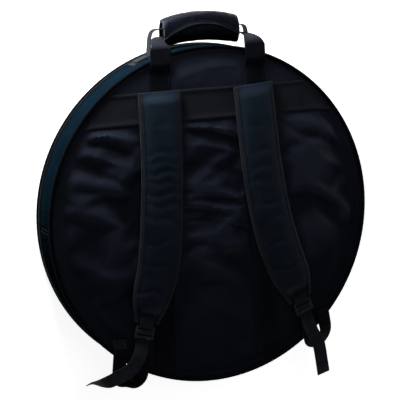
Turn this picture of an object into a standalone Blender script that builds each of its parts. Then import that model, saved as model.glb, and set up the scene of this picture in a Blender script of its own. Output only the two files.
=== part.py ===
"""A round padded cymbal bag with backpack straps, lying on its front face.

Metres, +Z up. The origin is the middle of the front panel, on the floor. +Y points to the handle and
+X to the wearer's right strap. The back panel, with the shoulder straps, faces up. The front half
stays on the floor, and the back shell opens upwards about the short unzipped stretch at -Y.
"""
import math

import bmesh
import bpy
from mathutils import Matrix, Vector

# General clearances and fabrics
GAP = 0.0003
FABRIC = 0.0012
LINING = 0.0008
WEBBING = 0.0014
MERGE = 0.000001
SHARP_ANGLE = math.radians(40)

# The round body
OUTER_RADIUS = 0.298
SIDES = 72
PIPING_RADIUS = 0.0032
PIPING_SIDES = 8
FRONT_FOAM = 0.008
BACK_FOAM = 0.008
GUSSET_FOAM = 0.006
GUSSET_WIDTH = 0.0572
HINGE_HALF_ANGLE = math.radians(20)
SEAM_ANGLE = math.radians(180)

# The zip between the two halves
TAPE_WIDTH = 0.004
COIL_HEIGHT = 0.0016
COIL_DEPTH = 0.0026
COIL_PROUD = 0.0014

# The padded dividers, which lie on the front half when the bag is empty
DIVIDER = 0.004
DIVIDER_INSET = 0.003

# Zip sliders: body, bail and pull
SLIDER_LENGTH = 0.012
SLIDER_WIDTH = 0.009
SLIDER_HEIGHT = 0.0036
SLIDER_NOSE = 0.003
BAIL_LENGTH = 0.0084
BAIL_WIDTH = 0.0016
BAIL_BAR = 0.0011
BAIL_ROOM = 0.0028
PULL_BAR = 0.0012
PULL_THICKNESS = 0.0014
PULL_LENGTH = 0.034
PULL_WIDTH = 0.0078
PULL_NECK = 0.0062
PULL_TIP = 0.0020
PULL_TIP_WIDTH = 0.0039
PULL_WINDOW = 0.0072
PULL_SLOT = 0.0026
SLIDER_ROOM = 0.0005
SLIDER_PARK_ANGLE = math.radians(35)
SLIDER_SPACING = 0.044

# The reinforcing band across the back panel
YOKE_DROP = 0.071
YOKE_WIDTH = 0.056
YOKE_TIP = 0.004
YOKE_EDGE_INSET = 0.006
YOKE_RAMP = 0.0025

# Handle webbing, sewn down the back panel
HANDLE_WEBBING_WIDTH = 0.038
HANDLE_SPREAD_TOP = 0.088
HANDLE_SPREAD_BOTTOM = 0.100
WEBBING_RAMP = 0.008
RIM_MARGIN = 0.003

# Handle grip and its free legs
GRIP_LENGTH = 0.132
GRIP_OUT = 0.0335
GRIP_ARCH = 0.008
GRIP_STEPS = 8
GRIP_HEIGHT = 0.045
GRIP_WIDE_RADIUS = 0.0215
GRIP_FLAT_RADIUS = 0.0125
GRIP_SIDES = 24
WRAP_OVERHANG = 0.004
WRAP_FABRIC = 0.0022
FLAP_FABRIC = 0.0016
FLAP_START = math.radians(-35)
FLAP_END = math.radians(110)
FLAP_STEPS = 10
WRAP_START = math.radians(-160)
WRAP_END = math.radians(172)
WRAP_STEPS = 22
FAR_WEBBING_WIDTH = 0.025
LEG_END_WIDTH = 0.018
LEG_APART = 0.007
LEG_GAP = 0.0008
LEG_NARROW_SHARE = 0.6
HANDLE_TURN_OUT = 0.002
# Each row is how far in, how far out and how far down a leg has come, from its seam to the grip, and
# how far its face has turned outwards.
NEAR_LEG_SHARES = (
    (0.0, 0.0, 0.0, 0.0),
    (0.0, 0.18, 0.01, 0.1),
    (0.01, 0.42, 0.10, 0.45),
    (0.05, 0.65, 0.31, 0.8),
    (0.15, 0.83, 0.60, 1.0),
    (0.33, 0.94, 0.83, 1.0),
    (0.57, 0.99, 0.955, 1.0),
    (0.80, 1.0, 1.0, 1.0),
    (1.0, 1.0, 1.0, 1.0),
)
# The far legs lie on their patches first. Each row is how far in, how far out and how far up they are.
FAR_LEG_SHARES = (
    (0.05, 0.18, 0.0),
    (0.09, 0.44, 0.0),
    (0.14, 0.70, 0.1),
    (0.26, 0.90, 0.4),
    (0.49, 0.99, 0.85),
    (0.76, 1.0, 1.0),
    (1.0, 1.0, 1.0),
)
FAR_LEG_LOW = 0.0025
PATCH_ANGLE = math.radians(110)
PATCH_HALF_ANGLE = math.radians(5)
PATCH_LEG_START = math.radians(3.5)
PATCH_LOW = 0.004
PATCH_HEIGHT = 0.030

# Shoulder straps
STRAP_WIDTH = 0.078
STRAP_THICKNESS = 0.012
STRAP_EDGE = 0.0046
STRAP_CROWN = 0.027
STRAP_SEAM = 0.005
BINDING_PROUD = 0.0010
LEFT_STRAP_TOP = 0.093
LEFT_STRAP_SWEEP = 0.042
LEFT_STRAP_INSET = 0.0887
RIGHT_STRAP_TOP = 0.082
RIGHT_STRAP_SWEEP = 0.081
RIGHT_STRAP_INSET = 0.0785
LEFT_LENGTH_SHARES = (0.0, 0.29, 0.516, 0.75, 0.893, 1.0)
LEFT_SWEEP_SHARES = (0.0, 0.0, 0.10, 0.33, 0.72, 1.0)
LEFT_WIDTH_SHARES = (1.0, 0.98, 0.99, 1.0, 0.90, 0.58)
RIGHT_LENGTH_SHARES = (0.0, 0.337, 0.58, 0.756, 0.90, 1.0)
RIGHT_SWEEP_SHARES = (0.0, 0.15, 0.33, 0.556, 0.82, 1.0)
RIGHT_WIDTH_SHARES = (0.95, 0.98, 1.0, 1.0, 0.92, 0.60)
STRAP_STEPS = 4

# Strap ends, ladder locks and the webbing that runs through them
STRAP_WEBBING_WIDTH = 0.025
END_LOOP_LENGTH = 0.0060
END_LOOP_INSIDE = 0.011
END_LOOP_ROOM = 0.0008
END_LOOP_CHAMFER = 0.0012
BUCKLE_RAIL = 0.0045
BUCKLE_THICKNESS = 0.0034
BUCKLE_TOP_BAR = 0.0030
BUCKLE_TOP_SLOT = 0.0058
BUCKLE_MID_BAR = 0.0046
BUCKLE_MID_SLOT = 0.0044
BUCKLE_LOW_BAR = 0.0046
BUCKLE_SIDE_ROOM = 0.0008

RIBBON_STEPS = 4
TAIL_LIFT = 0.0020

# The lower webbing leaves its anchor on the panel, turns beyond the rim and comes back to the buckle.
# Each aside is how far out it crosses the rim, measured from the middle of the strap's end.
# Each row is how far round it is, how far past the rim, how far it droops and how far it has twisted.
LEFT_ANCHOR_INSET = 0.025
LEFT_ANCHOR_ASIDE = 0.0667
LEFT_RETURN_ASIDE = 0.0086
LEFT_LOOP_REACH = 0.037
LEFT_LOOP_DROP = 0.016
LEFT_LOOP_SHARES = (
    (0.15, -0.36, 0.0, 0.0),
    (0.32, 0.12, 0.0, 0.0),
    (0.43, 0.48, 0.04, 0.0),
    (0.54, 0.80, 0.4, 0.3),
    (0.66, 0.96, 0.85, 0.6),
    (0.79, 0.97, 1.0, 0.8),
    (0.91, 0.82, 0.85, 0.7),
    (0.985, 0.58, 0.45, 0.4),
    (1.0, 0.30, 0.15, 0.12),
    (0.96, 0.04, 0.0, 0.0),
    (0.86, -0.30, 0.0, 0.0),
    (0.74, -0.757, 0.0, 0.0),
)
RIGHT_ANCHOR_INSET = 0.013
RIGHT_ANCHOR_ASIDE = 0.0532
RIGHT_RETURN_ASIDE = 0.0221
RIGHT_LOOP_REACH = 0.016
RIGHT_LOOP_DROP = 0.007
RIGHT_LOOP_SHARES = (
    (0.17, -0.17, 0.0, 0.0),
    (0.3, 0.3, 0.0, 0.0),
    (0.42, 0.85, 0.14, 0.05),
    (0.55, 1.36, 0.4, 0.12),
    (0.715, 1.70, 0.7, 0.2),
    (0.90, 1.84, 0.92, 0.25),
    (1.085, 1.73, 1.0, 0.27),
    (1.225, 1.39, 0.82, 0.22),
    (1.285, 0.90, 0.36, 0.1),
    (1.245, 0.40, 0.0, 0.0),
    (1.135, -0.12, 0.0, 0.0),
    (0.98, -0.86, 0.0, 0.0),
)

# The free tails leave the buckles over the rim, in rows of the same kind
LEFT_TAIL_ASIDE = 0.0273
LEFT_TIP_ASIDE = 0.0597
LEFT_TAIL_REACH = 0.068
LEFT_TAIL_DROP = 0.022
LEFT_TAIL_SHARES = (
    (0.0, -0.31, 0.0, 0.0),
    (0.05, 0.10, 0.0, 0.0),
    (0.38, 0.45, 0.0, 0.0),
    (0.6, 0.66, 0.0, 0.1),
    (0.79, 0.83, 0.35, 0.5),
    (1.0, 1.0, 1.0, 0.95),
)
RIGHT_TAIL_ASIDE = 0.0205
RIGHT_TIP_ASIDE = 0.0015
RIGHT_TAIL_REACH = 0.088
RIGHT_TAIL_DROP = 0.016
RIGHT_TAIL_SHARES = (
    (0.0, 0.04, 0.0, 0.0),
    (0.08, 0.24, 0.0, 0.0),
    (0.3, 0.4, 0.07, 0.0),
    (0.6, 0.63, 0.38, 0.0),
    (1.0, 1.0, 1.0, 0.0),
)

# Heights, from the floor up
FRONT_PANEL_TOP = FABRIC
FRONT_FOAM_BOTTOM = FRONT_PANEL_TOP + GAP
FRONT_FOAM_TOP = FRONT_FOAM_BOTTOM + FRONT_FOAM
FRONT_LINING_BOTTOM = FRONT_FOAM_TOP + GAP
FRONT_LINING_TOP = FRONT_LINING_BOTTOM + LINING
FRONT_TAPE_BOTTOM = 2 * PIPING_RADIUS + GAP
FRONT_TAPE_TOP = FRONT_TAPE_BOTTOM + TAPE_WIDTH
FRONT_COIL_BOTTOM = FRONT_TAPE_TOP + GAP
FRONT_COIL_TOP = FRONT_COIL_BOTTOM + COIL_HEIGHT
BACK_COIL_BOTTOM = FRONT_COIL_TOP + GAP
BACK_COIL_TOP = BACK_COIL_BOTTOM + COIL_HEIGHT
BACK_TAPE_BOTTOM = BACK_COIL_TOP + GAP
BACK_TAPE_TOP = BACK_TAPE_BOTTOM + TAPE_WIDTH
ZIP_HEIGHT = (FRONT_COIL_TOP + BACK_COIL_BOTTOM) / 2
GUSSET_BOTTOM = BACK_TAPE_TOP + GAP
GUSSET_TOP = GUSSET_BOTTOM + GUSSET_WIDTH
BACK_PIPING_HEIGHT = GUSSET_TOP + GAP + PIPING_RADIUS
PIPING_TOP = BACK_PIPING_HEIGHT + PIPING_RADIUS
BACK_PANEL_BOTTOM = GUSSET_TOP + GAP
BACK_PANEL_TOP = BACK_PANEL_BOTTOM + FABRIC
BACK_FOAM_TOP = BACK_PANEL_BOTTOM - GAP
BACK_FOAM_BOTTOM = BACK_FOAM_TOP - BACK_FOAM
BACK_LINING_TOP = BACK_FOAM_BOTTOM - GAP
BACK_LINING_BOTTOM = BACK_LINING_TOP - LINING
ON_PANEL = BACK_PANEL_TOP + GAP
ON_WEBBING = ON_PANEL + WEBBING + GAP
ON_YOKE = ON_WEBBING + FABRIC + GAP
OVER_PIPING = PIPING_TOP + GAP
END_LOOP_TOP = ON_YOKE + WEBBING + 2 * END_LOOP_ROOM + BUCKLE_THICKNESS
STRAP_END = END_LOOP_TOP - GAP - ON_YOKE
BUCKLE_HEIGHT = (ON_YOKE + WEBBING + END_LOOP_TOP) / 2
TAIL_LAYER = BUCKLE_HEIGHT - BUCKLE_THICKNESS / 2 - GAP - WEBBING / 2
LOAD_LAYER = TAIL_LAYER - WEBBING - GAP
OVER_RIM = OVER_PIPING + WEBBING / 2
TAIL_OVER_RIM = OVER_RIM + WEBBING + TAIL_LIFT

# Radii, from the outside in
SKIN_INSIDE = OUTER_RADIUS - FABRIC
FOAM_OUTSIDE = SKIN_INSIDE - GAP
FOAM_INSIDE = FOAM_OUTSIDE - GUSSET_FOAM
LINING_OUTSIDE = FOAM_INSIDE - GAP
LINING_INSIDE = LINING_OUTSIDE - LINING
PIPING_RING = OUTER_RADIUS - FABRIC / 2
PANEL_RADIUS = PIPING_RING - PIPING_RADIUS - GAP
BACK_PAD_RADIUS = LINING_INSIDE - GAP
DIVIDER_RADIUS = LINING_INSIDE - DIVIDER_INSET
COIL_OUTSIDE = OUTER_RADIUS + COIL_PROUD
HINGE_Y = -OUTER_RADIUS

YOKE_TOP = OUTER_RADIUS - YOKE_DROP
YOKE_BOTTOM = YOKE_TOP - YOKE_WIDTH


def material(name, colour, roughness, metallic=0.0):
    """Makes a plain material of its own for one piece."""
    made = bpy.data.materials.new(name)
    made.use_nodes = True
    shader = made.node_tree.nodes["Principled BSDF"]
    shader.inputs["Base Color"].default_value = (*colour, 1.0)
    shader.inputs["Roughness"].default_value = roughness
    shader.inputs["Metallic"].default_value = metallic
    return made


NAVY_NYLON = ((0.010, 0.013, 0.022), 0.62)
GREY_BINDING = ((0.035, 0.037, 0.040), 0.55)
BLACK_WEBBING = ((0.018, 0.018, 0.021), 0.66)
BLACK_FOAM = ((0.030, 0.030, 0.032), 0.95)
BLACK_LINING = ((0.014, 0.014, 0.016), 0.70)
BLACK_PLASTIC = ((0.012, 0.012, 0.013), 0.32)
DARK_METAL = ((0.060, 0.060, 0.065), 0.35, 0.9)


def add_object(name, mesh_source, finish, matrix=None):
    """Turns a bmesh into one named object with its own material, smooth but for its sharp edges."""
    bmesh.ops.recalc_face_normals(mesh_source, faces=mesh_source.faces)
    mesh = bpy.data.meshes.new(name)
    mesh_source.to_mesh(mesh)
    mesh_source.free()
    mesh.shade_smooth()
    mesh.set_sharp_from_angle(angle=SHARP_ANGLE)
    made = bpy.data.objects.new(name, mesh)
    made.data.materials.append(material(name, *finish))
    bpy.context.scene.collection.objects.link(made)
    if matrix is not None:
        made.matrix_world = matrix
    return made


def add_pivot(name, place, parent=None):
    """Makes an empty on a joint's axis, for the pieces that move about it."""
    made = bpy.data.objects.new(name, None)
    bpy.context.scene.collection.objects.link(made)
    made.matrix_world = Matrix.Translation(place)
    made["place"] = tuple(place)
    if parent is not None:
        hang(parent, (made,))
    return made


def hang(parent, pieces):
    """Parents pieces to an empty, and leaves them where they are."""
    for piece in pieces:
        piece.parent = parent
        piece.matrix_parent_inverse = Matrix.Translation(parent["place"]).inverted()


def disc(name, finish, radius, bottom, top):
    """Makes a flat round pad between two heights."""
    mesh = bmesh.new()
    made = bmesh.ops.create_circle(mesh, cap_ends=True, segments=SIDES, radius=radius)
    bmesh.ops.translate(mesh, verts=made["verts"], vec=(0, 0, bottom))
    raised = bmesh.ops.extrude_face_region(mesh, geom=list(mesh.faces))["geom"]
    verts = [v for v in raised if isinstance(v, bmesh.types.BMVert)]
    bmesh.ops.translate(mesh, verts=verts, vec=(0, 0, top - bottom))
    return add_object(name, mesh, finish)


def spun(name, finish, profile, start, sweep, steps):
    """Spins a closed outline of (radius, height) points about Z, all round or part of the way."""
    mesh = bmesh.new()
    turned = Matrix.Rotation(start, 3, "Z")
    verts = [mesh.verts.new(turned @ Vector((r, 0, z))) for r, z in profile]
    edges = [mesh.edges.new((verts[i - 1], verts[i])) for i in range(len(verts))]
    whole = abs(sweep - math.tau) < 1e-6
    geom = verts + edges
    if not whole:
        geom.append(mesh.faces.new(verts))
    bmesh.ops.spin(
        mesh, geom=geom, cent=(0, 0, 0), axis=(0, 0, 1), angle=sweep, steps=steps, use_merge=whole
    )
    bmesh.ops.remove_doubles(mesh, verts=mesh.verts, dist=MERGE)
    return add_object(name, mesh, finish)


def box_profile(inside, outside, bottom, top):
    """Gives the four corners of a ring's section."""
    return [(inside, bottom), (outside, bottom), (outside, top), (inside, top)]


def ring(name, finish, inside, outside, bottom, top, start=0.0, sweep=math.tau):
    """Makes a wall of the round body, on the same facets as its neighbours."""
    steps = round(SIDES * sweep / math.tau)
    return spun(name, finish, box_profile(inside, outside, bottom, top), start, sweep, steps)


def piping(name, height):
    """Makes the corded edge between a panel and the gusset."""
    turns = [math.tau * (i + 0.5) / PIPING_SIDES for i in range(PIPING_SIDES)]
    reach = PIPING_RADIUS / math.cos(math.pi / PIPING_SIDES)
    outline = [(PIPING_RING + reach * math.cos(a), height + reach * math.sin(a)) for a in turns]
    return spun(name, GREY_BINDING, outline, 0.0, math.tau, SIDES)


def pace(here, there):
    """Gives the share of a smooth curve that runs between two points, which is more where they lie apart."""
    return math.sqrt(math.dist(here[:3], there[:3]))


def bend(before, point, after):
    """Gives the direction of a smooth curve at a point, at an even pace."""
    back = pace(before, point)
    ahead = pace(point, after)
    if not back:
        return [(c - b) / ahead for b, c in zip(point, after)]
    if not ahead:
        return [(b - a) / back for a, b in zip(before, point)]
    return [
        (b - a) / back - (c - a) / (back + ahead) + (c - b) / ahead
        for a, b, c in zip(before, point, after)
    ]


def smooth_path(points, steps):
    """Reads a smooth curve through points, each a tuple of numbers, with even steps between them."""
    last = len(points) - 1
    path = []
    for i in range(last):
        here, there = points[i], points[i + 1]
        leave = bend(points[max(i - 1, 0)], here, there)
        reach = bend(here, there, points[min(i + 2, last)])
        length = pace(here, there)
        for step in range(steps):
            t = step / steps
            to_there = t * t * (3 - 2 * t)
            from_leave = t * (1 - t) * (1 - t) * length
            from_reach = t * t * (t - 1) * length
            path.append(
                tuple(
                    a + (b - a) * to_there + c * from_leave + d * from_reach
                    for a, b, c, d in zip(here, there, leave, reach)
                )
            )
    path.append(tuple(points[-1]))
    return path


def sweep(name, finish, stations):
    """Extrudes a section along stations, each a list of the section's corners in space."""
    mesh = bmesh.new()
    verts = [mesh.verts.new(p) for p in stations[0]]
    face = mesh.faces.new(verts)
    loop = verts
    for station in stations[1:]:
        ahead = [mesh.verts.new(p) for p in station]
        for i in range(len(loop)):
            mesh.faces.new((loop[i - 1], loop[i], ahead[i], ahead[i - 1]))
        loop = ahead
    mesh.faces.new(loop)
    face.normal_flip()
    return add_object(name, mesh, finish)


def ribbon(name, finish, path, width, thickness, end_width=None):
    """Sweeps flat webbing along a path of ((place), (side)) rows, its side being across its width."""
    stations = []
    last = len(path) - 1
    for i, (place, side) in enumerate(path):
        ahead = Vector(path[min(i + 1, last)][0])
        behind = Vector(path[max(i - 1, 0)][0])
        forward = (ahead - behind).normalized()
        across = Vector(side)
        up = forward.cross(across).normalized()
        wide = width
        if end_width is not None:
            wide += (end_width - width) * min(i / last / LEG_NARROW_SHARE, 1)
        half = across * wide / 2
        thick = up * thickness / 2
        middle = Vector(place)
        stations.append(
            [middle - half - thick, middle + half - thick, middle + half + thick, middle - half + thick]
        )
    return sweep(name, finish, stations)


def ribbon_path(rows, steps=RIBBON_STEPS):
    """Reads a smooth ribbon path through rows of a place and a twist: 0 lies flat, 1 stands on edge."""
    line = smooth_path(rows, steps)
    last = len(line) - 1
    path = []
    for i, (x, y, z, twist) in enumerate(line):
        ahead = line[min(i + 1, last)]
        behind = line[max(i - 1, 0)]
        level = Vector((ahead[1] - behind[1], behind[0] - ahead[0], 0)).normalized()
        turn = min(max(twist, 0.0), 1.0) * math.pi / 2
        side = level * math.cos(turn) + Vector((0, 0, math.sin(turn)))
        forward = Vector([a - b for a, b in zip(ahead[:3], behind[:3])]).normalized()
        path.append(((x, y, z), (side - side.dot(forward) * forward).normalized()))
    return path


def add_front_half():
    """Makes the half that lies on the floor, up to its side of the zip."""
    zip_start = -math.pi / 2 + HINGE_HALF_ANGLE
    zip_sweep = math.tau - 2 * HINGE_HALF_ANGLE
    disc("front_panel", NAVY_NYLON, PANEL_RADIUS, 0.0, FRONT_PANEL_TOP)
    disc("front_foam", BLACK_FOAM, PANEL_RADIUS, FRONT_FOAM_BOTTOM, FRONT_FOAM_TOP)
    disc("front_lining", BLACK_LINING, PANEL_RADIUS, FRONT_LINING_BOTTOM, FRONT_LINING_TOP)
    piping("front_piping", PIPING_RADIUS)
    tape = (SKIN_INSIDE, OUTER_RADIUS, FRONT_TAPE_BOTTOM, FRONT_TAPE_TOP)
    ring("front_zip_tape", BLACK_WEBBING, *tape, zip_start, zip_sweep)
    coil = (COIL_OUTSIDE - COIL_DEPTH, COIL_OUTSIDE, FRONT_COIL_BOTTOM, FRONT_COIL_TOP)
    ring("front_zip_coil", BLACK_PLASTIC, *coil, zip_start, zip_sweep)
    strip = (SKIN_INSIDE, OUTER_RADIUS, FRONT_TAPE_BOTTOM, FRONT_COIL_TOP)
    ring("hinge_panel_front", NAVY_NYLON, *strip, zip_start - 2 * HINGE_HALF_ANGLE, 2 * HINGE_HALF_ANGLE)


def add_dividers():
    """Makes the two padded dividers, stacked on the front half and turning at the hinge side."""
    bottom = FRONT_LINING_TOP + GAP
    for name in ("divider_lower", "divider_upper"):
        disc(name, BLACK_LINING, DIVIDER_RADIUS, bottom, bottom + DIVIDER)
        bottom += DIVIDER + GAP


def add_back_shell():
    """Makes the deep half with the back panel, the gusset and its side of the zip."""
    zip_start = -math.pi / 2 + HINGE_HALF_ANGLE
    zip_sweep = math.tau - 2 * HINGE_HALF_ANGLE
    disc("back_panel", NAVY_NYLON, PANEL_RADIUS, BACK_PANEL_BOTTOM, BACK_PANEL_TOP)
    disc("back_foam", BLACK_FOAM, BACK_PAD_RADIUS, BACK_FOAM_BOTTOM, BACK_FOAM_TOP)
    disc("back_lining", BLACK_LINING, BACK_PAD_RADIUS, BACK_LINING_BOTTOM, BACK_LINING_TOP)
    piping("back_piping", BACK_PIPING_HEIGHT)
    skin = (SKIN_INSIDE, OUTER_RADIUS, GUSSET_BOTTOM, GUSSET_TOP)
    seam = GAP / OUTER_RADIUS / 2
    ring("gusset_upper", NAVY_NYLON, *skin, seam, SEAM_ANGLE - 2 * seam)
    ring("gusset_lower", NAVY_NYLON, *skin, SEAM_ANGLE + seam, math.tau - SEAM_ANGLE - 2 * seam)
    foam = (FOAM_INSIDE, FOAM_OUTSIDE, GUSSET_BOTTOM, GUSSET_TOP)
    ring("gusset_foam", BLACK_FOAM, *foam)
    lining = (LINING_INSIDE, LINING_OUTSIDE, GUSSET_BOTTOM, GUSSET_TOP)
    ring("gusset_lining", BLACK_LINING, *lining)
    tape = (SKIN_INSIDE, OUTER_RADIUS, BACK_TAPE_BOTTOM, BACK_TAPE_TOP)
    ring("back_zip_tape", BLACK_WEBBING, *tape, zip_start, zip_sweep)
    coil = (COIL_OUTSIDE - COIL_DEPTH, COIL_OUTSIDE, BACK_COIL_BOTTOM, BACK_COIL_TOP)
    ring("back_zip_coil", BLACK_PLASTIC, *coil, zip_start, zip_sweep)
    strip = (SKIN_INSIDE, OUTER_RADIUS, BACK_COIL_BOTTOM, BACK_TAPE_TOP)
    ring("hinge_panel_back", NAVY_NYLON, *strip, zip_start - 2 * HINGE_HALF_ANGLE, 2 * HINGE_HALF_ANGLE)


def extruded(name, finish, outline, thickness, matrix):
    """Extrudes a flat outline of (x, y) points along its normal, both ways from the plane."""
    mesh = bmesh.new()
    verts = [mesh.verts.new((x, y, -thickness / 2)) for x, y in outline]
    face = mesh.faces.new(verts)
    raised = bmesh.ops.extrude_face_region(mesh, geom=[face])["geom"]
    moved = [v for v in raised if isinstance(v, bmesh.types.BMVert)]
    bmesh.ops.translate(mesh, verts=moved, vec=(0, 0, thickness))
    return add_object(name, mesh, finish, matrix)


def slider_matrix(angle):
    """Places a slider's own frame: X along the zip, clockwise from above, Y out from the wall, Z up."""
    out = Vector((math.cos(angle), math.sin(angle), 0))
    along = Vector((out.y, -out.x, 0))
    seat = out * (COIL_OUTSIDE + SLIDER_ROOM)
    columns = (along, out, Vector((0, 0, 1)))
    placed = Matrix([[c[i] for c in columns] for i in range(3)]).to_4x4()
    placed.translation = seat + Vector((0, 0, ZIP_HEIGHT))
    return placed


def zip_slider(name, angle, way):
    """Makes one slider with its bail, and the pull that turns in the bail, pointing along way."""
    placed = slider_matrix(angle)
    half = SLIDER_LENGTH / 2
    bail_half = BAIL_LENGTH / 2
    room = bail_half - BAIL_BAR
    body_top = SLIDER_HEIGHT
    bail_top = body_top + BAIL_ROOM + BAIL_BAR
    mesh = bmesh.new()
    outline = [
        (-half, 0), (half, 0), (half, body_top - SLIDER_NOSE / 2), (half - SLIDER_NOSE, body_top),
        (-half + SLIDER_NOSE, body_top), (-half, body_top - SLIDER_NOSE / 2),
    ]
    verts = [mesh.verts.new((x, y, -SLIDER_WIDTH / 2)) for x, y in outline]
    raised = bmesh.ops.extrude_face_region(mesh, geom=[mesh.faces.new(verts)])["geom"]
    moved = [v for v in raised if isinstance(v, bmesh.types.BMVert)]
    bmesh.ops.translate(mesh, verts=moved, vec=(0, 0, SLIDER_WIDTH))
    slider = add_object(f"{name}_slider", mesh, DARK_METAL, placed)
    bail = bmesh.new()
    arch = [
        (-bail_half, -GAP), (-bail_half, bail_top), (bail_half, bail_top), (bail_half, -GAP),
        (room, -GAP), (room, body_top + BAIL_ROOM), (-room, body_top + BAIL_ROOM), (-room, -GAP),
    ]
    arch = [(x, y + body_top / 2) if y <= 0 else (x, y) for x, y in arch]
    verts = [bail.verts.new((x, y, -BAIL_WIDTH / 2)) for x, y in arch]
    raised = bmesh.ops.extrude_face_region(bail, geom=[bail.faces.new(verts)])["geom"]
    moved = [v for v in raised if isinstance(v, bmesh.types.BMVert)]
    bmesh.ops.translate(bail, verts=moved, vec=(0, 0, BAIL_WIDTH))
    cutter = add_object(f"{name}_bail_cutter", bail, DARK_METAL, placed)
    cutter.hide_render = True
    cutter.display_type = "WIRE"
    joined = slider.modifiers.new("bail", "BOOLEAN")
    joined.operation = "UNION"
    joined.object = cutter
    pivot = Matrix.Translation((-way * (room - BAIL_ROOM / 2), body_top + BAIL_ROOM / 2, 0))
    mesh = bmesh.new()
    bar = PULL_BAR / 2
    columns = (-bar, bar, bar + PULL_WINDOW, PULL_LENGTH - PULL_TIP, PULL_LENGTH)
    widths = (PULL_NECK, PULL_NECK, PULL_WIDTH, PULL_WIDTH, PULL_TIP_WIDTH)
    rows = []
    for x, wide in zip(columns, widths):
        across = (-wide / 2, -PULL_SLOT / 2, PULL_SLOT / 2, wide / 2)
        rows.append([mesh.verts.new((way * x, -PULL_THICKNESS / 2, z)) for z in across])
    faces = []
    for i in range(len(rows) - 1):
        for j in range(3):
            if i == 1 and j == 1:
                continue
            faces.append(mesh.faces.new((rows[i][j], rows[i][j + 1], rows[i + 1][j + 1], rows[i + 1][j])))
    raised = bmesh.ops.extrude_face_region(mesh, geom=faces)["geom"]
    moved = [v for v in raised if isinstance(v, bmesh.types.BMVert)]
    bmesh.ops.translate(mesh, verts=moved, vec=(0, PULL_THICKNESS, 0))
    pull = add_object(f"{name}_pull", mesh, DARK_METAL, placed @ pivot)
    turning = add_pivot(f"{name}_turning", (0, 0, ZIP_HEIGHT))
    hang(turning, (slider, cutter, pull))


def add_sliders():
    """Makes the two zip sliders, parked nose to nose."""
    half = SLIDER_SPACING / 2 / COIL_OUTSIDE
    zip_slider("left_zip", SLIDER_PARK_ANGLE + half, -1)
    zip_slider("right_zip", SLIDER_PARK_ANGLE - half, 1)


def rim_height(x, radius):
    """Gives how far up the disc a circle lies above a place beside the middle."""
    return math.sqrt(radius * radius - x * x)


def leg_x(y):
    """Gives how far out the handle webbing lies, at a height on the back panel."""
    share = (OUTER_RADIUS - y) / (2 * OUTER_RADIUS)
    return HANDLE_SPREAD_TOP + (HANDLE_SPREAD_BOTTOM - HANDLE_SPREAD_TOP) * share


def add_panel_webbing(name, side):
    """Makes the handle webbing sewn down the panel and over the top piping."""
    inner = HANDLE_SPREAD_TOP - HANDLE_WEBBING_WIDTH / 2
    outer = HANDLE_SPREAD_TOP + HANDLE_WEBBING_WIDTH / 2
    low_outer = HANDLE_SPREAD_BOTTOM + HANDLE_WEBBING_WIDTH / 2
    level = ON_PANEL + WEBBING / 2
    over = OVER_PIPING + WEBBING / 2
    before_rim = rim_height(outer, PANEL_RADIUS) - RIM_MARGIN
    past_rim = rim_height(inner, OUTER_RADIUS + PIPING_RADIUS) + RIM_MARGIN
    bottom = -rim_height(low_outer, PANEL_RADIUS) + RIM_MARGIN
    rows = [
        (bottom, level), (before_rim - WEBBING_RAMP, level), (before_rim, over), (past_rim, over),
    ]
    path = [((side * leg_x(y), y, z), (1, 0, 0)) for y, z in rows]
    ribbon(name, BLACK_WEBBING, path, HANDLE_WEBBING_WIDTH, WEBBING)
    return past_rim + LEG_GAP, over


def add_yoke():
    """Makes the band across the panel, raised where the handle webbing runs under it."""
    half = rim_height(YOKE_TOP, PANEL_RADIUS) - YOKE_EDGE_INSET
    low_half = rim_height(YOKE_BOTTOM, PANEL_RADIUS) - YOKE_EDGE_INSET
    middle = leg_x((YOKE_TOP + YOKE_BOTTOM) / 2)
    inner = middle - HANDLE_WEBBING_WIDTH / 2 - YOKE_RAMP / 2
    outer = middle + HANDLE_WEBBING_WIDTH / 2 + YOKE_RAMP / 2
    top = [
        (-half, ON_PANEL), (-outer - YOKE_RAMP, ON_PANEL), (-outer, ON_WEBBING), (-inner, ON_WEBBING),
        (-inner + YOKE_RAMP, ON_PANEL),
    ]
    under = top + [(-x, z) for x, z in reversed(top)]
    under = [(-low_half, ON_PANEL)] + under + [(low_half, ON_PANEL)]
    stations = []
    for x, z in under:
        high = YOKE_TOP if abs(x) < low_half else YOKE_BOTTOM + YOKE_TIP
        stations.append(
            [(x, YOKE_BOTTOM, z), (x, high, z), (x, high, z + FABRIC), (x, YOKE_BOTTOM, z + FABRIC)]
        )
    sweep("yoke_band", NAVY_NYLON, stations)


def grip_centre():
    """Gives the middle of the handle's grip."""
    return Vector((0, OUTER_RADIUS + GRIP_OUT, GRIP_HEIGHT))


def ellipse_ring(wide, flat, start, end, steps):
    """Gives points round part of an ellipse, across the grip."""
    turns = [start + (end - start) * i / steps for i in range(steps + 1)]
    return [(wide * math.cos(a), flat * math.sin(a)) for a in turns]


def arched(name, finish, outline, length):
    """Draws an outline of (out, up) points along the grip, whose ends fall back towards the rim."""
    stations = []
    for step in range(GRIP_STEPS + 1):
        x = length * (step / GRIP_STEPS - 1 / 2)
        middle = grip_centre() + Vector((x, -GRIP_ARCH * (2 * x / GRIP_LENGTH) ** 2, 0))
        stations.append([middle + Vector((0, out, up)) for out, up in outline])
    return sweep(name, finish, stations)


def shell_along(name, finish, wide, flat, thickness, length, turns):
    """Makes a curved sheet round the grip, of one thickness."""
    start, end, steps = turns
    inner = ellipse_ring(wide, flat, start, end, steps)
    outer = ellipse_ring(wide + thickness, flat + thickness, start, end, steps)
    return arched(name, finish, outer + inner[::-1], length)


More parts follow.
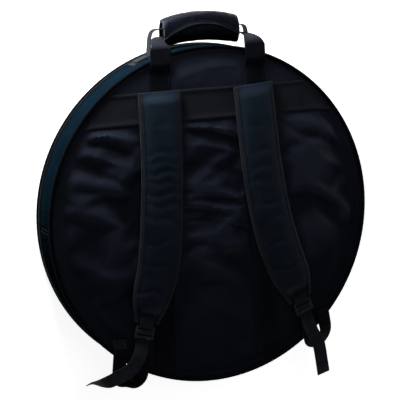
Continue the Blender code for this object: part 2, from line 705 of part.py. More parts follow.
def add_grip():
    """Makes the grip: a padded core, its wrap and the hook and loop flap over it."""
    turns = [math.tau * i / GRIP_SIDES for i in range(GRIP_SIDES)]
    outline = [(GRIP_WIDE_RADIUS * math.cos(a), GRIP_FLAT_RADIUS * math.sin(a)) for a in turns]
    arched("grip_core", BLACK_FOAM, outline, GRIP_LENGTH)
    wide = GRIP_WIDE_RADIUS + GAP
    flat = GRIP_FLAT_RADIUS + GAP
    length = GRIP_LENGTH + 2 * WRAP_OVERHANG
    shell_along("grip_wrap", NAVY_NYLON, wide, flat, WRAP_FABRIC, length, (WRAP_START, WRAP_END, WRAP_STEPS))
    wide += WRAP_FABRIC + GAP
    flat += WRAP_FABRIC + GAP
    turns = (FLAP_START, FLAP_END, FLAP_STEPS)
    shell_along("grip_flap", NAVY_NYLON, wide, flat, FLAP_FABRIC, length, turns)
    seam = ((wide + FLAP_FABRIC) * math.cos(FLAP_START), (flat + FLAP_FABRIC) * math.sin(FLAP_START))
    return grip_centre() + Vector((0, *seam))


def leg_path(rows):
    """Reads a smooth ribbon path through rows of a place and a turn: 0 faces up, 1 faces outwards."""
    line = smooth_path(rows, RIBBON_STEPS)
    last = len(line) - 1
    path = []
    for i, row in enumerate(line):
        turn = min(max(row[3], 0.0), 1.0) * math.pi / 2
        facing = Vector((0, math.sin(turn), math.cos(turn)))
        forward = Vector(line[min(i + 1, last)][:3]) - Vector(line[max(i - 1, 0)][:3])
        path.append((row[:3], forward.cross(facing).normalized()))
    return path


def add_handle_legs(start_y, start_z):
    """Makes the four free webbing legs, from the rim and the gusset patches to the grip's ends."""
    end = grip_centre() + Vector((GRIP_LENGTH / 2 + LEG_GAP, -GRIP_ARCH, 0))
    near_end = end + Vector((0, -LEG_APART, 0))
    far_end = end + Vector((0, LEG_APART, -FAR_LEG_LOW))
    start = (HANDLE_SPREAD_TOP, start_y, start_z)
    on_patch = OUTER_RADIUS + 2 * GAP + FABRIC + LEG_GAP + WEBBING / 2
    low = GUSSET_BOTTOM + PATCH_LOW + PATCH_HEIGHT / 2
    angle = math.pi - PATCH_ANGLE
    lain = []
    for turn in (-PATCH_LEG_START, 0, PATCH_LEG_START / 2):
        lain.append((on_patch * math.cos(angle + turn), on_patch * math.sin(angle + turn), low, 1))
    for name, side in (("left", -1), ("right", 1)):
        rows = []
        for row in NEAR_LEG_SHARES:
            x, y, z = (a + (b - a) * share for a, b, share in zip(start, near_end, row))
            rows.append((side * x, y, z, row[3]))
        ribbon(f"near_leg_{name}", BLACK_WEBBING, leg_path(rows), HANDLE_WEBBING_WIDTH, WEBBING, LEG_END_WIDTH)
        rows = [(side * x, y, z, twist) for x, y, z, twist in lain]
        for aside, out, rise in FAR_LEG_SHARES:
            x = lain[-1][0] + (far_end.x - lain[-1][0]) * aside
            y = lain[-1][1] + (far_end.y - lain[-1][1]) * out
            rows.append((side * x, y, low + (far_end.z - low) * rise, 1))
        ribbon(f"far_leg_{name}", BLACK_WEBBING, ribbon_path(rows), FAR_WEBBING_WIDTH, WEBBING, LEG_END_WIDTH)


def add_patches():
    """Makes the two patches on the gusset that hold the far legs."""
    inside = OUTER_RADIUS + GAP
    low = GUSSET_BOTTOM + PATCH_LOW
    section = (inside, inside + FABRIC, low, low + PATCH_HEIGHT)
    for name, middle in (("left", PATCH_ANGLE), ("right", math.pi - PATCH_ANGLE)):
        start = middle - PATCH_HALF_ANGLE
        ring(f"handle_patch_{name}", BLACK_WEBBING, *section, start, 2 * PATCH_HALF_ANGLE)


def strap_line(side):
    """Gives the strap's middle line and width down the panel, as rows of x, y and width."""
    if side < 0:
        top, sweep_by, inset = LEFT_STRAP_TOP, LEFT_STRAP_SWEEP, LEFT_STRAP_INSET
        shares = zip(LEFT_LENGTH_SHARES, LEFT_SWEEP_SHARES, LEFT_WIDTH_SHARES)
    else:
        top, sweep_by, inset = RIGHT_STRAP_TOP, RIGHT_STRAP_SWEEP, RIGHT_STRAP_INSET
        shares = zip(RIGHT_LENGTH_SHARES, RIGHT_SWEEP_SHARES, RIGHT_WIDTH_SHARES)
    length = YOKE_TOP + rim_height(top + sweep_by, OUTER_RADIUS) - inset
    return [
        (side * (top + sweep_by * out), YOKE_TOP - length * down, STRAP_WIDTH * wide)
        for down, out, wide in shares
    ]


def strap_rows(side):
    """Gives the strap's stations: middle, direction across and width."""
    line = smooth_path(strap_line(side), STRAP_STEPS)
    rows = []
    last = len(line) - 1
    for i, (x, y, wide) in enumerate(line):
        ahead = line[min(i + 1, last)]
        behind = line[max(i - 1, 0)]
        forward = Vector((ahead[0] - behind[0], ahead[1] - behind[1], 0)).normalized()
        rows.append((Vector((x, y, 0)), Vector((-forward.y, forward.x, 0)), wide))
    rows[0] = (rows[0][0], Vector((1, 0, 0)), rows[0][2])
    return rows


def add_strap(name, side):
    """Makes one padded shoulder strap and the binding along both its edges."""
    rows = strap_rows(side)
    last = len(rows) - 1
    pad = []
    inner_edge = []
    outer_edge = []
    for i, (middle, across, wide) in enumerate(rows):
        half = wide / 2 - BINDING_PROUD - GAP
        crown = min(STRAP_CROWN, half - STRAP_EDGE)
        thick = STRAP_THICKNESS
        if i == 0:
            thick = STRAP_SEAM
        if (rows[min(i + 1, last)][0] - rows[last][0]).length < END_LOOP_INSIDE + GAP:
            thick = STRAP_END
        level = middle + Vector((0, 0, ON_YOKE))
        section = [
            (-half, 0), (half, 0), (half, STRAP_EDGE), (crown, thick), (-crown, thick), (-half, STRAP_EDGE),
        ]
        pad.append([level + across * x + Vector((0, 0, z)) for x, z in section])
        rim = half + GAP
        section = [(rim, 0), (rim + BINDING_PROUD, 0), (rim + BINDING_PROUD, STRAP_EDGE), (rim, STRAP_EDGE)]
        outer_edge.append([level + across * x * side + Vector((0, 0, z)) for x, z in section])
        inner_edge.append([level - across * x * side + Vector((0, 0, z)) for x, z in section])
    sweep(f"shoulder_strap_{name}", NAVY_NYLON, pad)
    sweep(f"strap_binding_inner_{name}", GREY_BINDING, inner_edge)
    sweep(f"strap_binding_outer_{name}", GREY_BINDING, outer_edge)
    end = rows[-1][0]
    return end, (end - rows[-2][0]).normalized()


def strap_end_matrix(end, forward):
    """Places the frame of a strap's end: X along the strap, Y up, Z across it, at the top bar."""
    up = Vector((0, 0, 1))
    columns = (forward, up, forward.cross(up))
    placed = Matrix([[c[i] for c in columns] for i in range(3)]).to_4x4()
    placed.translation = end + forward * END_LOOP_LENGTH + Vector((0, 0, BUCKLE_HEIGHT))
    return placed


def add_end_loop(name, placed):
    """Makes the webbing loop sewn to the strap's end, round the buckle's top bar."""
    reach = BUCKLE_TOP_BAR / 2 + END_LOOP_ROOM
    rise = BUCKLE_THICKNESS / 2 + END_LOOP_ROOM
    outer = reach + WEBBING
    top = rise + WEBBING
    cut = END_LOOP_CHAMFER
    tip = GAP - END_LOOP_LENGTH
    back = -END_LOOP_INSIDE - END_LOOP_LENGTH
    outline = [
        (back, top), (back, rise), (reach, rise), (reach, -rise), (tip, -rise), (tip, -top),
        (outer - cut, -top), (outer, cut - top), (outer, top - cut), (outer - cut, top),
    ]
    extruded(f"strap_end_loop_{name}", BLACK_WEBBING, outline, STRAP_WEBBING_WIDTH, placed)


def buckle_stops():
    """Gives where the buckle's bars and slots start and end, from the middle of its top bar."""
    sizes = (BUCKLE_TOP_BAR, BUCKLE_TOP_SLOT, BUCKLE_MID_BAR, BUCKLE_MID_SLOT, BUCKLE_LOW_BAR)
    stops = [-BUCKLE_TOP_BAR / 2]
    for size in sizes:
        stops.append(stops[-1] + size)
    return stops


def add_buckle(name, placed):
    """Makes the ladder lock: two rails and three bars, cut from one plate."""
    slot = STRAP_WEBBING_WIDTH / 2 + BUCKLE_SIDE_ROOM
    across = (-slot - BUCKLE_RAIL, -slot, slot, slot + BUCKLE_RAIL)
    mesh = bmesh.new()
    rows = [[mesh.verts.new((x, -BUCKLE_THICKNESS / 2, z)) for z in across] for x in buckle_stops()]
    faces = []
    for i in range(len(rows) - 1):
        for j in range(len(across) - 1):
            if i % 2 == 1 and j == 1:
                continue
            faces.append(mesh.faces.new((rows[i][j], rows[i][j + 1], rows[i + 1][j + 1], rows[i + 1][j])))
    raised = bmesh.ops.extrude_face_region(mesh, geom=faces)["geom"]
    moved = [v for v in raised if isinstance(v, bmesh.types.BMVert)]
    bmesh.ops.translate(mesh, verts=moved, vec=(0, BUCKLE_THICKNESS, 0))
    add_object(f"ladder_lock_{name}", mesh, BLACK_PLASTIC, placed)


def rim_angle(x):
    """Gives the angle of the place on the lower rim that lies at x."""
    return math.atan2(-rim_height(x, OUTER_RADIUS), x)


def rim_rows(strap_x, rows, asides, reach, drop, level):
    """Turns rows of shares into places by the rim, each with its twist."""
    start, end = (rim_angle(strap_x + math.copysign(aside, strap_x)) for aside in asides)
    places = []
    for turn, out, down, twist in rows:
        angle = start + (end - start) * turn
        radius = OUTER_RADIUS + reach * out
        places.append((radius * math.cos(angle), radius * math.sin(angle), level - drop * down, twist))
    return places


def add_lower_webbing(name, placed, strap_x, anchor, loop):
    """Makes the webbing from its anchor on the panel, round beyond the rim, to under the buckle."""
    inset, level = anchor
    angle = rim_angle(strap_x + math.copysign(loop[1][0], strap_x))
    out = OUTER_RADIUS - inset
    forward = placed.to_3x3() @ Vector((1, 0, 0))
    seat = Vector((placed.translation.x, placed.translation.y, 0))
    stops = buckle_stops()
    rows = [(out * math.cos(angle), out * math.sin(angle), level, 0)]
    rows += rim_rows(strap_x, *loop, OVER_RIM)
    for reach in (stops[5] + BUCKLE_LOW_BAR, stops[2] - GAP - WEBBING):
        place = seat + forward * reach
        rows.append((place.x, place.y, LOAD_LAYER, 0))
    ribbon(f"lower_webbing_{name}", BLACK_WEBBING, ribbon_path(rows), STRAP_WEBBING_WIDTH, WEBBING)


def add_tail(name, placed, strap_x, tail):
    """Makes the webbing over the buckle's middle bar and its free tail beyond the rim."""
    forward = placed.to_3x3() @ Vector((1, 0, 0))
    across = placed.to_3x3() @ Vector((0, 0, 1))
    seat = Vector((placed.translation.x, placed.translation.y, 0))
    stops = buckle_stops()
    before = stops[2] - GAP - WEBBING / 2
    after = stops[3] + GAP + WEBBING / 2
    top = BUCKLE_HEIGHT + BUCKLE_THICKNESS / 2 + GAP + WEBBING / 2
    low = LOAD_LAYER + WEBBING / 2 + GAP
    turns = [(before, low), (before, top), (after, top), (after, TAIL_LAYER)]
    path = [(seat + forward * s + Vector((0, 0, z)), across) for s, z in turns]
    start = seat + forward * stops[5]
    rows = [(start.x, start.y, TAIL_LAYER, 0)] + rim_rows(strap_x, *tail, TAIL_OVER_RIM)
    path += ribbon_path(rows)
    ribbon(f"tail_webbing_{name}", BLACK_WEBBING, path, STRAP_WEBBING_WIDTH, WEBBING)


def add_bodies(flap_seam, buckle_places):
    """Hangs each moving piece on an empty that lies on its joint's axis."""
    pieces = bpy.data.objects
    shell = add_pivot("shell_turning", (0, HINGE_Y, ZIP_HEIGHT))
    names = (
        "back_panel", "back_foam", "back_lining", "back_piping", "gusset_upper", "gusset_lower",
        "gusset_foam", "gusset_lining", "back_zip_tape", "back_zip_coil", "hinge_panel_back",
        "yoke_band", "panel_webbing_left", "panel_webbing_right", "handle_patch_left",
        "handle_patch_right", "lower_webbing_left", "lower_webbing_right",
    )
    hang(shell, [pieces[name] for name in names])
    for name in ("divider_lower", "divider_upper"):
        seam = add_pivot(f"{name}_turning", (0, -LINING_INSIDE, FRONT_LINING_TOP + GAP / 2))
        hang(seam, [pieces[name]])
    turn_z = (OVER_RIM + GUSSET_BOTTOM + PATCH_LOW + PATCH_HEIGHT / 2) / 2
    handle = add_pivot("handle_turning", (0, OUTER_RADIUS + HANDLE_TURN_OUT, turn_z), shell)
    names = ("grip_core", "grip_wrap", "near_leg_left", "near_leg_right", "far_leg_left", "far_leg_right")
    hang(handle, [pieces[name] for name in names])
    hang(add_pivot("flap_turning", flap_seam, handle), [pieces["grip_flap"]])
    for side, place in buckle_places:
        strap = add_pivot(f"strap_turning_{side}", (0, YOKE_TOP, ON_YOKE), shell)
        names = ("shoulder_strap", "strap_binding_inner", "strap_binding_outer", "strap_end_loop")
        hang(strap, [pieces[f"{name}_{side}"] for name in names])
        buckle = add_pivot(f"buckle_turning_{side}", place, strap)
        hang(buckle, [pieces[f"ladder_lock_{side}"], pieces[f"tail_webbing_{side}"]])


def main():
    """Builds every piece of the bag."""
    for old in list(bpy.data.objects):
        bpy.data.objects.remove(old, do_unlink=True)
    add_front_half()
    add_dividers()
    add_back_shell()
    add_sliders()
    leg_y, leg_z = add_panel_webbing("panel_webbing_left", -1)
    add_panel_webbing("panel_webbing_right", 1)
    add_yoke()
    add_patches()
    add_handle_legs(leg_y, leg_z)
    flap_seam = add_grip()
    sides = (
        (
            "left",
            -1,
            (LEFT_ANCHOR_INSET, ON_PANEL + WEBBING / 2),
            (LEFT_LOOP_SHARES, (LEFT_ANCHOR_ASIDE, LEFT_RETURN_ASIDE), LEFT_LOOP_REACH, LEFT_LOOP_DROP),
            (LEFT_TAIL_SHARES, (LEFT_TAIL_ASIDE, LEFT_TIP_ASIDE), LEFT_TAIL_REACH, LEFT_TAIL_DROP),
        ),
        (
            "right",
            1,
            (RIGHT_ANCHOR_INSET, OVER_RIM),
            (RIGHT_LOOP_SHARES, (RIGHT_ANCHOR_ASIDE, RIGHT_RETURN_ASIDE), RIGHT_LOOP_REACH, RIGHT_LOOP_DROP),
            (RIGHT_TAIL_SHARES, (RIGHT_TAIL_ASIDE, RIGHT_TIP_ASIDE), RIGHT_TAIL_REACH, RIGHT_TAIL_DROP),
        ),
    )
    buckle_places = []
    for name, side, anchor, loop, tail in sides:
        end, forward = add_strap(name, side)
        placed = strap_end_matrix(end, forward)
        add_end_loop(name, placed)
        add_buckle(name, placed)
        add_lower_webbing(name, placed, end.x, anchor, loop)
        add_tail(name, placed, end.x, tail)
        buckle_places.append((name, placed.translation))
    add_bodies(flap_seam, buckle_places)


main()
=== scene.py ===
"""A round padded cymbal bag with backpack straps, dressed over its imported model."""
import math

import bmesh
import bpy
from mathutils import Matrix, Vector, noise


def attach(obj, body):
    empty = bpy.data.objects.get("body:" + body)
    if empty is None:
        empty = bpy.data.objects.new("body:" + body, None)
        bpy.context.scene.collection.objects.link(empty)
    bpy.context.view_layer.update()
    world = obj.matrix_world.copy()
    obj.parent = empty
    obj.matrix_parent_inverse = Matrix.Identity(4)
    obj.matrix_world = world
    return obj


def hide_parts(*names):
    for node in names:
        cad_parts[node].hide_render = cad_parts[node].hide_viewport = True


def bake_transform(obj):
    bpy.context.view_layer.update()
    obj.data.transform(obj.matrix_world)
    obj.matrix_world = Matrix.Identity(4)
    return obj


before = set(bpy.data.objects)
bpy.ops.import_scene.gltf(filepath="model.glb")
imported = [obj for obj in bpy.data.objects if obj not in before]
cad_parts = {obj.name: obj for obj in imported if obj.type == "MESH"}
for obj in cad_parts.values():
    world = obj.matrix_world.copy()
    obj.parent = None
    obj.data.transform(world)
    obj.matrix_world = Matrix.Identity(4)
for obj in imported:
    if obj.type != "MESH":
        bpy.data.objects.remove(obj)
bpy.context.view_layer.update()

# Clearances and fabrics
GAP = 0.0003
FABRIC = 0.0012
WEBBING = 0.0014
SHARP_ANGLE = math.radians(38)

# The round body, from its outside in
OUTER_RADIUS = 0.298
WALL_OUTSIDE = 0.2979
WALL_INSIDE = 0.2969
TAPE_OUTSIDE = 0.2980
FOAM_OUTSIDE = 0.2964
FOAM_INSIDE = 0.2906
LINING_OUTSIDE = 0.2902
LINING_INSIDE = 0.2894
PIPING_RADIUS = 0.0032
PIPING_RING = OUTER_RADIUS - FABRIC / 2
PANEL_RADIUS = PIPING_RING - PIPING_RADIUS - GAP
PANEL_SEAM_RADIUS = 0.2888
PANEL_EDGE = (0.2855, 0.2865)
PANEL_GROOVE = 0.2845
FRONT_PAD_RADIUS = 0.2932
BACK_PAD_RADIUS = LINING_INSIDE - GAP
DIVIDER_RADIUS = 0.2864
DIVIDER_SEAM_RADIUS = 0.2825
DIVIDER = 0.004
HINGE_HALF_ANGLE = math.radians(20)
COIL_TEETH = 830
TOOTH_SIZES = (0.0009, 0.00065, 0.0023)

# Its levels, from the floor up
TAPE_WIDTH = 0.004
COIL_HEIGHT = 0.0016
GUSSET_WIDTH = 0.0572
FRONT_PAD = (0.0015, 0.0095)
FRONT_LINING = (0.0098, 0.0106)
FRONT_TAPE = (2 * PIPING_RADIUS + GAP, 2 * PIPING_RADIUS + GAP + TAPE_WIDTH)
FRONT_COIL = (FRONT_TAPE[1] + GAP, FRONT_TAPE[1] + GAP + COIL_HEIGHT)
BACK_COIL = (FRONT_COIL[1] + GAP, FRONT_COIL[1] + GAP + COIL_HEIGHT)
BACK_TAPE = (BACK_COIL[1] + GAP, BACK_COIL[1] + GAP + TAPE_WIDTH)
GUSSET_BOTTOM = BACK_TAPE[1] + GAP
GUSSET_TOP = GUSSET_BOTTOM + GUSSET_WIDTH
SIDE_PAD = (0.0195, 0.0759)
BACK_LINING = (0.0672, 0.0680)
BACK_PAD = (0.0683, 0.0763)
PANEL_BOTTOM = GUSSET_TOP + GAP
PANEL_TOP = PANEL_BOTTOM + FABRIC
ON_PANEL = PANEL_TOP + GAP
ON_WEBBING = ON_PANEL + WEBBING + GAP
ON_YOKE = ON_WEBBING + FABRIC + GAP
BACK_PIPING_HEIGHT = GUSSET_TOP + GAP + PIPING_RADIUS
OVER_RIM = BACK_PIPING_HEIGHT + PIPING_RADIUS + GAP + WEBBING / 2
TAIL_OVER_RIM = 0.0874

# The sewn band and the handle webbing
YOKE_TOP = 0.227
YOKE_BOTTOM = 0.171
YOKE_REACH = 0.2901
YOKE_HALF = 0.2330
YOKE_TACKS = (
    -0.187, -0.181, -0.136, -0.130, -0.046, -0.040, 0.036, 0.042, 0.128, 0.134, 0.176, 0.182,
)
HANDLE_WEBBING_WIDTH = 0.038
HANDLE_SPREAD_TOP = 0.088
HANDLE_SPREAD_BOTTOM = 0.100
BOX_STITCH_HALF = 0.014
GRIP_CENTRE = Vector((0, 0.3315, 0.045))
GRIP_ARCH = 0.008
GRIP_HALF = 0.066
CORE_SIZE = (0.0213, 0.0123)
WRAP_HALF = 0.070
WRAP_SIZE = (0.0218, 0.0128)
FLAP_SIZE = (0.0246, 0.0156)
FAR_WEBBING_WIDTH = 0.025
LEG_END_WIDTH = 0.018
LEG_APART = 0.007
LEG_GAP = 0.0008
LEG_NARROW_SHARE = 0.6
# Each row is how far in, how far out and how far down a leg has come, and how far a near leg's face
# has turned outwards
NEAR_LEG_SHARES = (
    (0.0, 0.0, 0.0, 0.0),
    (0.0, 0.18, 0.01, 0.1),
    (0.01, 0.42, 0.10, 0.45),
    (0.05, 0.65, 0.31, 0.8),
    (0.15, 0.83, 0.60, 1.0),
    (0.33, 0.94, 0.83, 1.0),
    (0.57, 0.99, 0.955, 1.0),
    (0.80, 1.0, 1.0, 1.0),
    (1.0, 1.0, 1.0, 1.0),
)
FAR_LEG_SHARES = (
    (0.05, 0.18, 0.0),
    (0.09, 0.44, 0.0),
    (0.14, 0.70, 0.1),
    (0.26, 0.90, 0.4),
    (0.49, 0.99, 0.85),
    (0.76, 1.0, 1.0),
    (1.0, 1.0, 1.0),
)
FAR_LEG_LOW = 0.0025
PATCH_ANGLES = {"left": math.radians(110), "right": math.radians(70)}
PATCH_HALF_ANGLE = math.radians(5)
PATCH_INSIDE = 0.2983
PATCH_OUTSIDE = 0.2995
PATCH_LEVELS = (0.0231, 0.0531)
PATCH_MIDDLE = 0.0381
ON_PATCH = 0.3013

# The shoulder straps. Each has its side, how far out its top is, how far it sweeps out, how far its
# end stays in from the rim, and then its stations as shares of its length, sweep and width.
STRAP_WIDTH = 0.078
STRAP_THICKNESS = 0.012
STRAP_EDGE = 0.0046
STRAP_SEAM = 0.005
STRAP_END = 0.0061
BINDING_LAP = 0.0060
STRAPS = {
    "left": (
        -1, 0.093, 0.042, 0.0887,
        (0.0, 0.29, 0.516, 0.75, 0.893, 1.0),
        (0.0, 0.0, 0.10, 0.33, 0.72, 1.0),
        (1.0, 0.98, 0.99, 1.0, 0.90, 0.58),
    ),
    "right": (
        1, 0.082, 0.081, 0.0785,
        (0.0, 0.337, 0.58, 0.756, 0.90, 1.0),
        (0.0, 0.15, 0.33, 0.556, 0.82, 1.0),
        (0.95, 0.98, 1.0, 1.0, 0.92, 0.60),
    ),
}
# Where each strap creases across: how far down it is, how it slants and how deep it is
CREASES = {
    "left": (
        (0.055, 0.10, 0.0005), (0.104, -0.12, 0.0010), (0.121, 0.10, 0.0007), (0.139, -0.05, 0.0011),
        (0.158, 0.16, 0.0008), (0.177, -0.10, 0.0011), (0.197, 0.05, 0.0008), (0.222, 0.20, 0.0009),
        (0.262, -0.15, 0.0007), (0.305, 0.18, 0.0006), (0.352, -0.1, 0.0009),
    ),
    "right": (
        (0.070, -0.10, 0.0006), (0.118, 0.12, 0.0010), (0.146, -0.16, 0.0008), (0.171, 0.06, 0.0009),
        (0.214, 0.14, 0.0009), (0.244, -0.12, 0.0007), (0.290, 0.10, 0.0008), (0.340, 0.16, 0.0009),
    ),
}

# Strap ends, ladder locks and what runs through them
STRAP_WEBBING_WIDTH = 0.025
END_LOOP_LENGTH = 0.0060
BUCKLE_HEIGHT = 0.0852
BUCKLE_THICKNESS = 0.0034
BUCKLE_RAIL = 0.0045
BUCKLE_SIDE_ROOM = 0.0008
BUCKLE_SIZES = (0.0030, 0.0058, 0.0046, 0.0044, 0.0046)
# Where its bars and slots start and end, from the middle of its top bar
BUCKLE_STOPS = [sum(BUCKLE_SIZES[:k]) - BUCKLE_SIZES[0] / 2 for k in range(len(BUCKLE_SIZES) + 1)]
TAIL_LAYER = BUCKLE_HEIGHT - BUCKLE_THICKNESS / 2 - GAP - WEBBING / 2
LOAD_LAYER = TAIL_LAYER - WEBBING - GAP
# Each loop has its anchor's inset and level, how far outside its strap it starts and ends, its reach
# and its drop.
# Each row is how far round, how far out and how far down the webbing has come, and its twist.
LOOPS = {
    "left": (
        (0.025, ON_PANEL + WEBBING / 2), (0.0667, 0.0086), 0.037, 0.016,
        (
            (0.15, -0.36, 0.0, 0.0), (0.32, 0.12, 0.0, 0.0), (0.43, 0.48, 0.04, 0.0),
            (0.54, 0.80, 0.4, 0.3), (0.66, 0.96, 0.85, 0.6), (0.79, 0.97, 1.0, 0.8),
            (0.91, 0.82, 0.85, 0.7), (0.985, 0.58, 0.45, 0.4), (1.0, 0.30, 0.15, 0.12),
            (0.96, 0.04, 0.0, 0.0), (0.86, -0.30, 0.0, 0.0), (0.74, -0.757, 0.0, 0.0),
        ),
    ),
    "right": (
        (0.013, OVER_RIM), (0.0532, 0.0221), 0.016, 0.007,
        (
            (0.17, -0.17, 0.0, 0.0), (0.3, 0.3, 0.0, 0.0), (0.42, 0.85, 0.14, 0.05),
            (0.55, 1.36, 0.4, 0.12), (0.715, 1.70, 0.7, 0.2), (0.90, 1.84, 0.92, 0.25),
            (1.085, 1.73, 1.0, 0.27), (1.225, 1.39, 0.82, 0.22), (1.285, 0.90, 0.36, 0.1),
            (1.245, 0.40, 0.0, 0.0), (1.135, -0.12, 0.0, 0.0), (0.98, -0.86, 0.0, 0.0),
        ),
    ),
}
# Where the webbing starts to follow a lifted strap, measured back from the buckle
PAY_OUT = {"left": (0.0048, 0.0184, 0.0), "right": (-0.0090, 0.0120, 0.0)}
# Each tail has how far outside its strap it starts and ends, its reach and its drop, and such rows
TAILS = {
    "left": (
        (0.0273, 0.0597), 0.068, 0.022,
        (
            (0.0, -0.31, 0.0, 0.0), (0.05, 0.10, 0.0, 0.0), (0.38, 0.45, 0.0, 0.0),
            (0.6, 0.66, 0.0, 0.1), (0.79, 0.83, 0.35, 0.5), (1.0, 1.0, 1.0, 0.95),
        ),
    ),
    "right": (
        (0.0205, 0.0015), 0.088, 0.016,
        (
            (0.0, 0.04, 0.0, 0.0), (0.08, 0.24, 0.0, 0.0), (0.3, 0.4, 0.07, 0.0),
            (0.6, 0.63, 0.38, 0.0), (1.0, 1.0, 1.0, 0.0),
        ),
    ),
}

# Folds of the back panel: from, to, width and height
FOLDS = (
    ((-0.245, 0.162), (-0.135, 0.146), 0.011, 0.0036),
    ((-0.240, 0.150), (-0.150, 0.124), 0.009, -0.0022),
    ((-0.268, 0.135), (-0.150, 0.098), 0.012, 0.0030),
    ((-0.268, 0.112), (-0.175, 0.080), 0.010, -0.0024),
    ((-0.276, 0.088), (-0.150, 0.050), 0.013, 0.0026),
    ((-0.280, 0.040), (-0.170, 0.000), 0.016, 0.0014),
    ((-0.260, -0.060), (-0.170, -0.110), 0.018, 0.0012),
    ((-0.048, 0.162), (0.052, 0.142), 0.010, 0.0034),
    ((-0.046, 0.154), (0.050, 0.130), 0.009, -0.0020),
    ((-0.044, 0.130), (0.050, 0.110), 0.010, 0.0022),
    ((-0.048, 0.092), (0.056, 0.070), 0.012, -0.0014),
    ((-0.050, 0.056), (0.060, 0.022), 0.010, 0.0028),
    ((-0.054, 0.026), (0.076, -0.010), 0.009, 0.0024),
    ((-0.050, -0.004), (0.070, -0.034), 0.010, -0.0014),
    ((-0.046, -0.034), (0.046, -0.058), 0.010, 0.0022),
    ((-0.050, -0.070), (0.060, -0.140), 0.018, 0.0016),
    ((-0.060, -0.160), (0.080, -0.200), 0.022, 0.0012),
    ((0.150, 0.158), (0.262, 0.124), 0.012, 0.0034),
    ((0.165, 0.132), (0.255, 0.100), 0.010, -0.0020),
    ((0.160, 0.100), (0.262, 0.060), 0.012, 0.0026),
    ((0.172, 0.050), (0.276, -0.030), 0.013, 0.0024),
    ((0.190, 0.000), (0.272, -0.070), 0.012, -0.0014),
    ((0.205, -0.060), (0.262, -0.120), 0.014, 0.0014),
    ((-0.060, 0.246), (0.060, 0.268), 0.014, 0.0022),
    ((-0.058, 0.280), (0.050, 0.286), 0.008, -0.0010),
)


# Finishes

def add_node(tree, kind, settings=None, **inputs):
    """Adds a shader node, sets it up, and links or fills its inputs."""
    made = tree.nodes.new(f"ShaderNode{kind}")
    for key, value in (settings or {}).items():
        setattr(made, key, value)
    for key, value in inputs.items():
        socket = made.inputs[int(key[1:])] if key[0] == "i" and key[1:].isdigit() else made.inputs[key]
        if isinstance(value, bpy.types.NodeSocket):
            tree.links.new(value, socket)
        else:
            socket.default_value = value
    return made


def maths(tree, operation, first, second=0.5):
    """Adds one sum of two numbers."""
    return add_node(tree, "Math", {"operation": operation}, i0=first, i1=second).outputs[0]


def bands(tree, place, pitch, direction):
    """Gives soft bands of a pitch in metres."""
    settings = {"wave_type": "BANDS", "bands_direction": direction, "wave_profile": "SIN"}
    made = add_node(tree, "TexWave", settings, Vector=place, Scale=math.tau / 20 / pitch)
    return made.outputs["Factor"] if "Factor" in made.outputs else made.outputs[1]


def blotches(tree, place, scale, detail=3.0):
    """Gives soft uneven patches, scale of them to the metre."""
    made = add_node(tree, "TexNoise", None, Vector=place, Scale=scale, Detail=detail)
    return made.outputs[0]


def two_tone(tree, share, dark, light, low=0.3, high=0.7):
    """Mixes two colours where a share runs from low to high."""
    ramp = add_node(tree, "ValToRGB", None, Fac=share)
    ramp.color_ramp.elements[0].position = low
    ramp.color_ramp.elements[0].color = (*dark, 1)
    ramp.color_ramp.elements[1].position = high
    ramp.color_ramp.elements[1].color = (*light, 1)
    return ramp.outputs[0]


def between(tree, share, low, high):
    """Spreads a share of 0 to 1 over two numbers."""
    made = add_node(tree, "MapRange", None, Value=share)
    made.inputs["To Min"].default_value = low
    made.inputs["To Max"].default_value = high
    return made.outputs[0]


def start_finish(name, specular, sheen=0.0, tint=(1, 1, 1), metallic=0.0):
    """Starts a finish with what is the same all over it."""
    made = bpy.data.materials.new(name)
    made.use_nodes = True
    tree = made.node_tree
    shader = tree.nodes["Principled BSDF"]
    shader.inputs["Specular IOR Level"].default_value = specular
    shader.inputs["Specular Tint"].default_value = (*tint, 1)
    shader.inputs["Sheen Weight"].default_value = sheen
    shader.inputs["Sheen Roughness"].default_value = 0.45
    shader.inputs["Sheen Tint"].default_value = (*tint, 1)
    shader.inputs["Metallic"].default_value = metallic
    return made, tree, shader


def finish_off(tree, shader, colour, roughness, height, depth, strength=1.0):
    """Links a finish's colour, roughness and relief."""
    tree.links.new(colour, shader.inputs["Base Color"])
    tree.links.new(roughness, shader.inputs["Roughness"])
    bump = add_node(tree, "Bump", None, Height=height, Distance=depth, Strength=strength)
    tree.links.new(bump.outputs[0], shader.inputs["Normal"])


def woven(name, dark, light, pitch, sheen, tint, mapped=False, specular=0.14, shine=(0.46, 0.66)):
    """Makes coated nylon: crossed yarns, soft blotches, and the painted light and shade that a piece keeps on
    its points.
    """
    made, tree, shader = start_finish(name, specular, sheen, tint)
    place = add_node(tree, "TexCoord").outputs["UV" if mapped else "Object"]
    yarns = maths(tree, "MULTIPLY", bands(tree, place, pitch, "X"), bands(tree, place, pitch, "Y"))
    cloudy = blotches(tree, place, 22)
    fine = blotches(tree, place, 900, 2.0)
    share = maths(tree, "ADD", maths(tree, "MULTIPLY", cloudy, 0.6), maths(tree, "MULTIPLY", fine, 0.4))
    share = maths(tree, "ADD", maths(tree, "MULTIPLY", yarns, 0.25), maths(tree, "MULTIPLY", share, 0.8))
    # Painted light and shade: the share kept on the mesh points lightens or darkens the cloth's colour.
    painted_light = add_node(tree, "Attribute", {"attribute_type": "GEOMETRY", "attribute_name": "painted_light"})
    share = maths(tree, "ADD", share, painted_light.outputs["Fac"])
    colour = two_tone(tree, share, dark, light, 0.2, 1.1)
    rough = between(tree, cloudy, *shine)
    height = maths(tree, "ADD", yarns, maths(tree, "MULTIPLY", fine, 0.5))
    finish_off(tree, shader, colour, rough, height, 0.00012)
    return made


